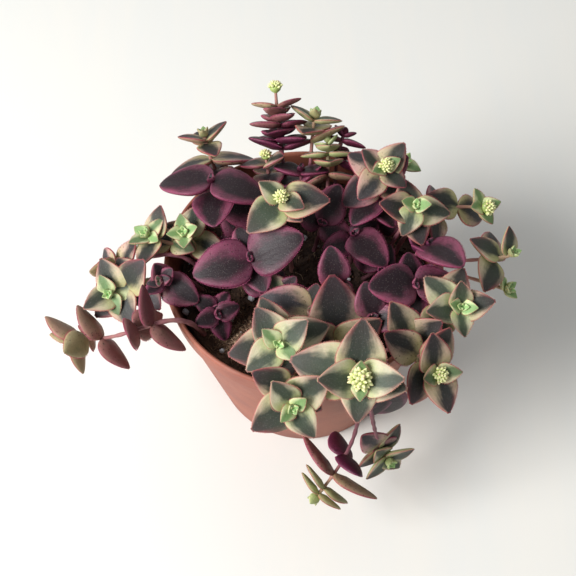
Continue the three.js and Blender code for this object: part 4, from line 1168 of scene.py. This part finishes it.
# floor, light and camera
stageLook = {"floorSize": 6.0, "floor": "e2e1dc", "floorGrain": "e9e4db", "sky": (0.94, 0.98, 1.0, 1),
             "worldStrength": 0.32, "keyEnergy": 19.4, "keySize": 0.66, "keyAt": (-0.8, -0.34, 0.76),
             "fillEnergy": 3.0, "fillAt": (0.2, 0.9, 0.9), "fillSize": 1.2, "aimHeight": 0.08}


def facing(away, place, roll=0.0):
    # A matrix that looks against away, upright but for its roll.
    right = unit(np.cross([0, 0, 1.0], away))
    up = np.cross(away, right)
    rolled = right * math.cos(roll) + up * math.sin(roll)
    lifted = up * math.cos(roll) - right * math.sin(roll)
    rows = np.column_stack([rolled, lifted, away, place])
    return Matrix([*rows.tolist(), [0, 0, 0, 1]])


def floorMaterial():
    # Pale, with a faint grain drawn out along one axis.
    material, wire = startMaterial("paleFloor")
    stretched = wire.node("Mapping", {}, {"Vector": objectPlace(wire), "Scale": (30.0, 4.0, 1.0)})
    grain = noise(wire, stretched, 1.0, 5.0, 0.6)
    share = grain.ease(0.35, 0.75) * 0.5
    color = share.mix(paint(stageLook["floor"]), paint(stageLook["floorGrain"]))
    endMaterial(wire, color, 0.6 + grain * 0.1, grain, 0.0001)
    return material


def makeStage():
    half = stageLook["floorSize"] / 2
    mesh = bpy.data.meshes.new("floor")
    mesh.from_pydata([(-half, -half, 0), (half, -half, 0), (half, half, 0), (-half, half, 0)], [],
                     [(0, 1, 2, 3)])
    mesh.materials.append(floorMaterial())
    makeObject("floor", mesh)
    world = bpy.data.worlds.new("softSky")
    world.use_nodes = True
    background = world.node_tree.nodes["Background"]
    background.inputs["Color"].default_value = stageLook["sky"]
    background.inputs["Strength"].default_value = stageLook["worldStrength"]
    bpy.context.scene.world = world
    for name, kind in (("windowLight", "key"), ("skyLight", "fill")):
        light = bpy.data.lights.new(name, "AREA")
        light.shape = "DISK"
        light.size = stageLook[kind + "Size"]
        light.energy = stageLook[kind + "Energy"]
        place = np.array(stageLook[kind + "At"])
        away = unit(place - [0, 0, stageLook["aimHeight"]])
        makeObject(name, light).matrix_world = facing(away, place)
    print("stage ready")


cameraLook = {"elevation": 59.5, "distance": 0.42, "target": (-0.007, 0.0, 0.0732), "roll": -2.6,
              "focal": 934.0, "frameWidth": 576.0, "sensor": 36.0, "near": 0.01, "far": 20}


def makeCamera():
    data = bpy.data.cameras.new("photoCamera")
    data.sensor_width = cameraLook["sensor"]
    data.lens = cameraLook["sensor"] * cameraLook["focal"] / cameraLook["frameWidth"]
    data.clip_start = cameraLook["near"]
    data.clip_end = cameraLook["far"]
    elevation = math.radians(cameraLook["elevation"])
    away = np.array([0, -math.cos(elevation), math.sin(elevation)])
    place = np.array(cameraLook["target"]) + away * cameraLook["distance"]
    camera = makeObject("photoCamera", data)
    camera.matrix_world = facing(away, place, math.radians(cameraLook["roll"]))
    bpy.context.scene.camera = camera
    bpy.context.scene.view_settings.view_transform = "Standard"
    print("camera ready")


makePlant()
makeMix()
makePot()
makeStage()
makeCamera()
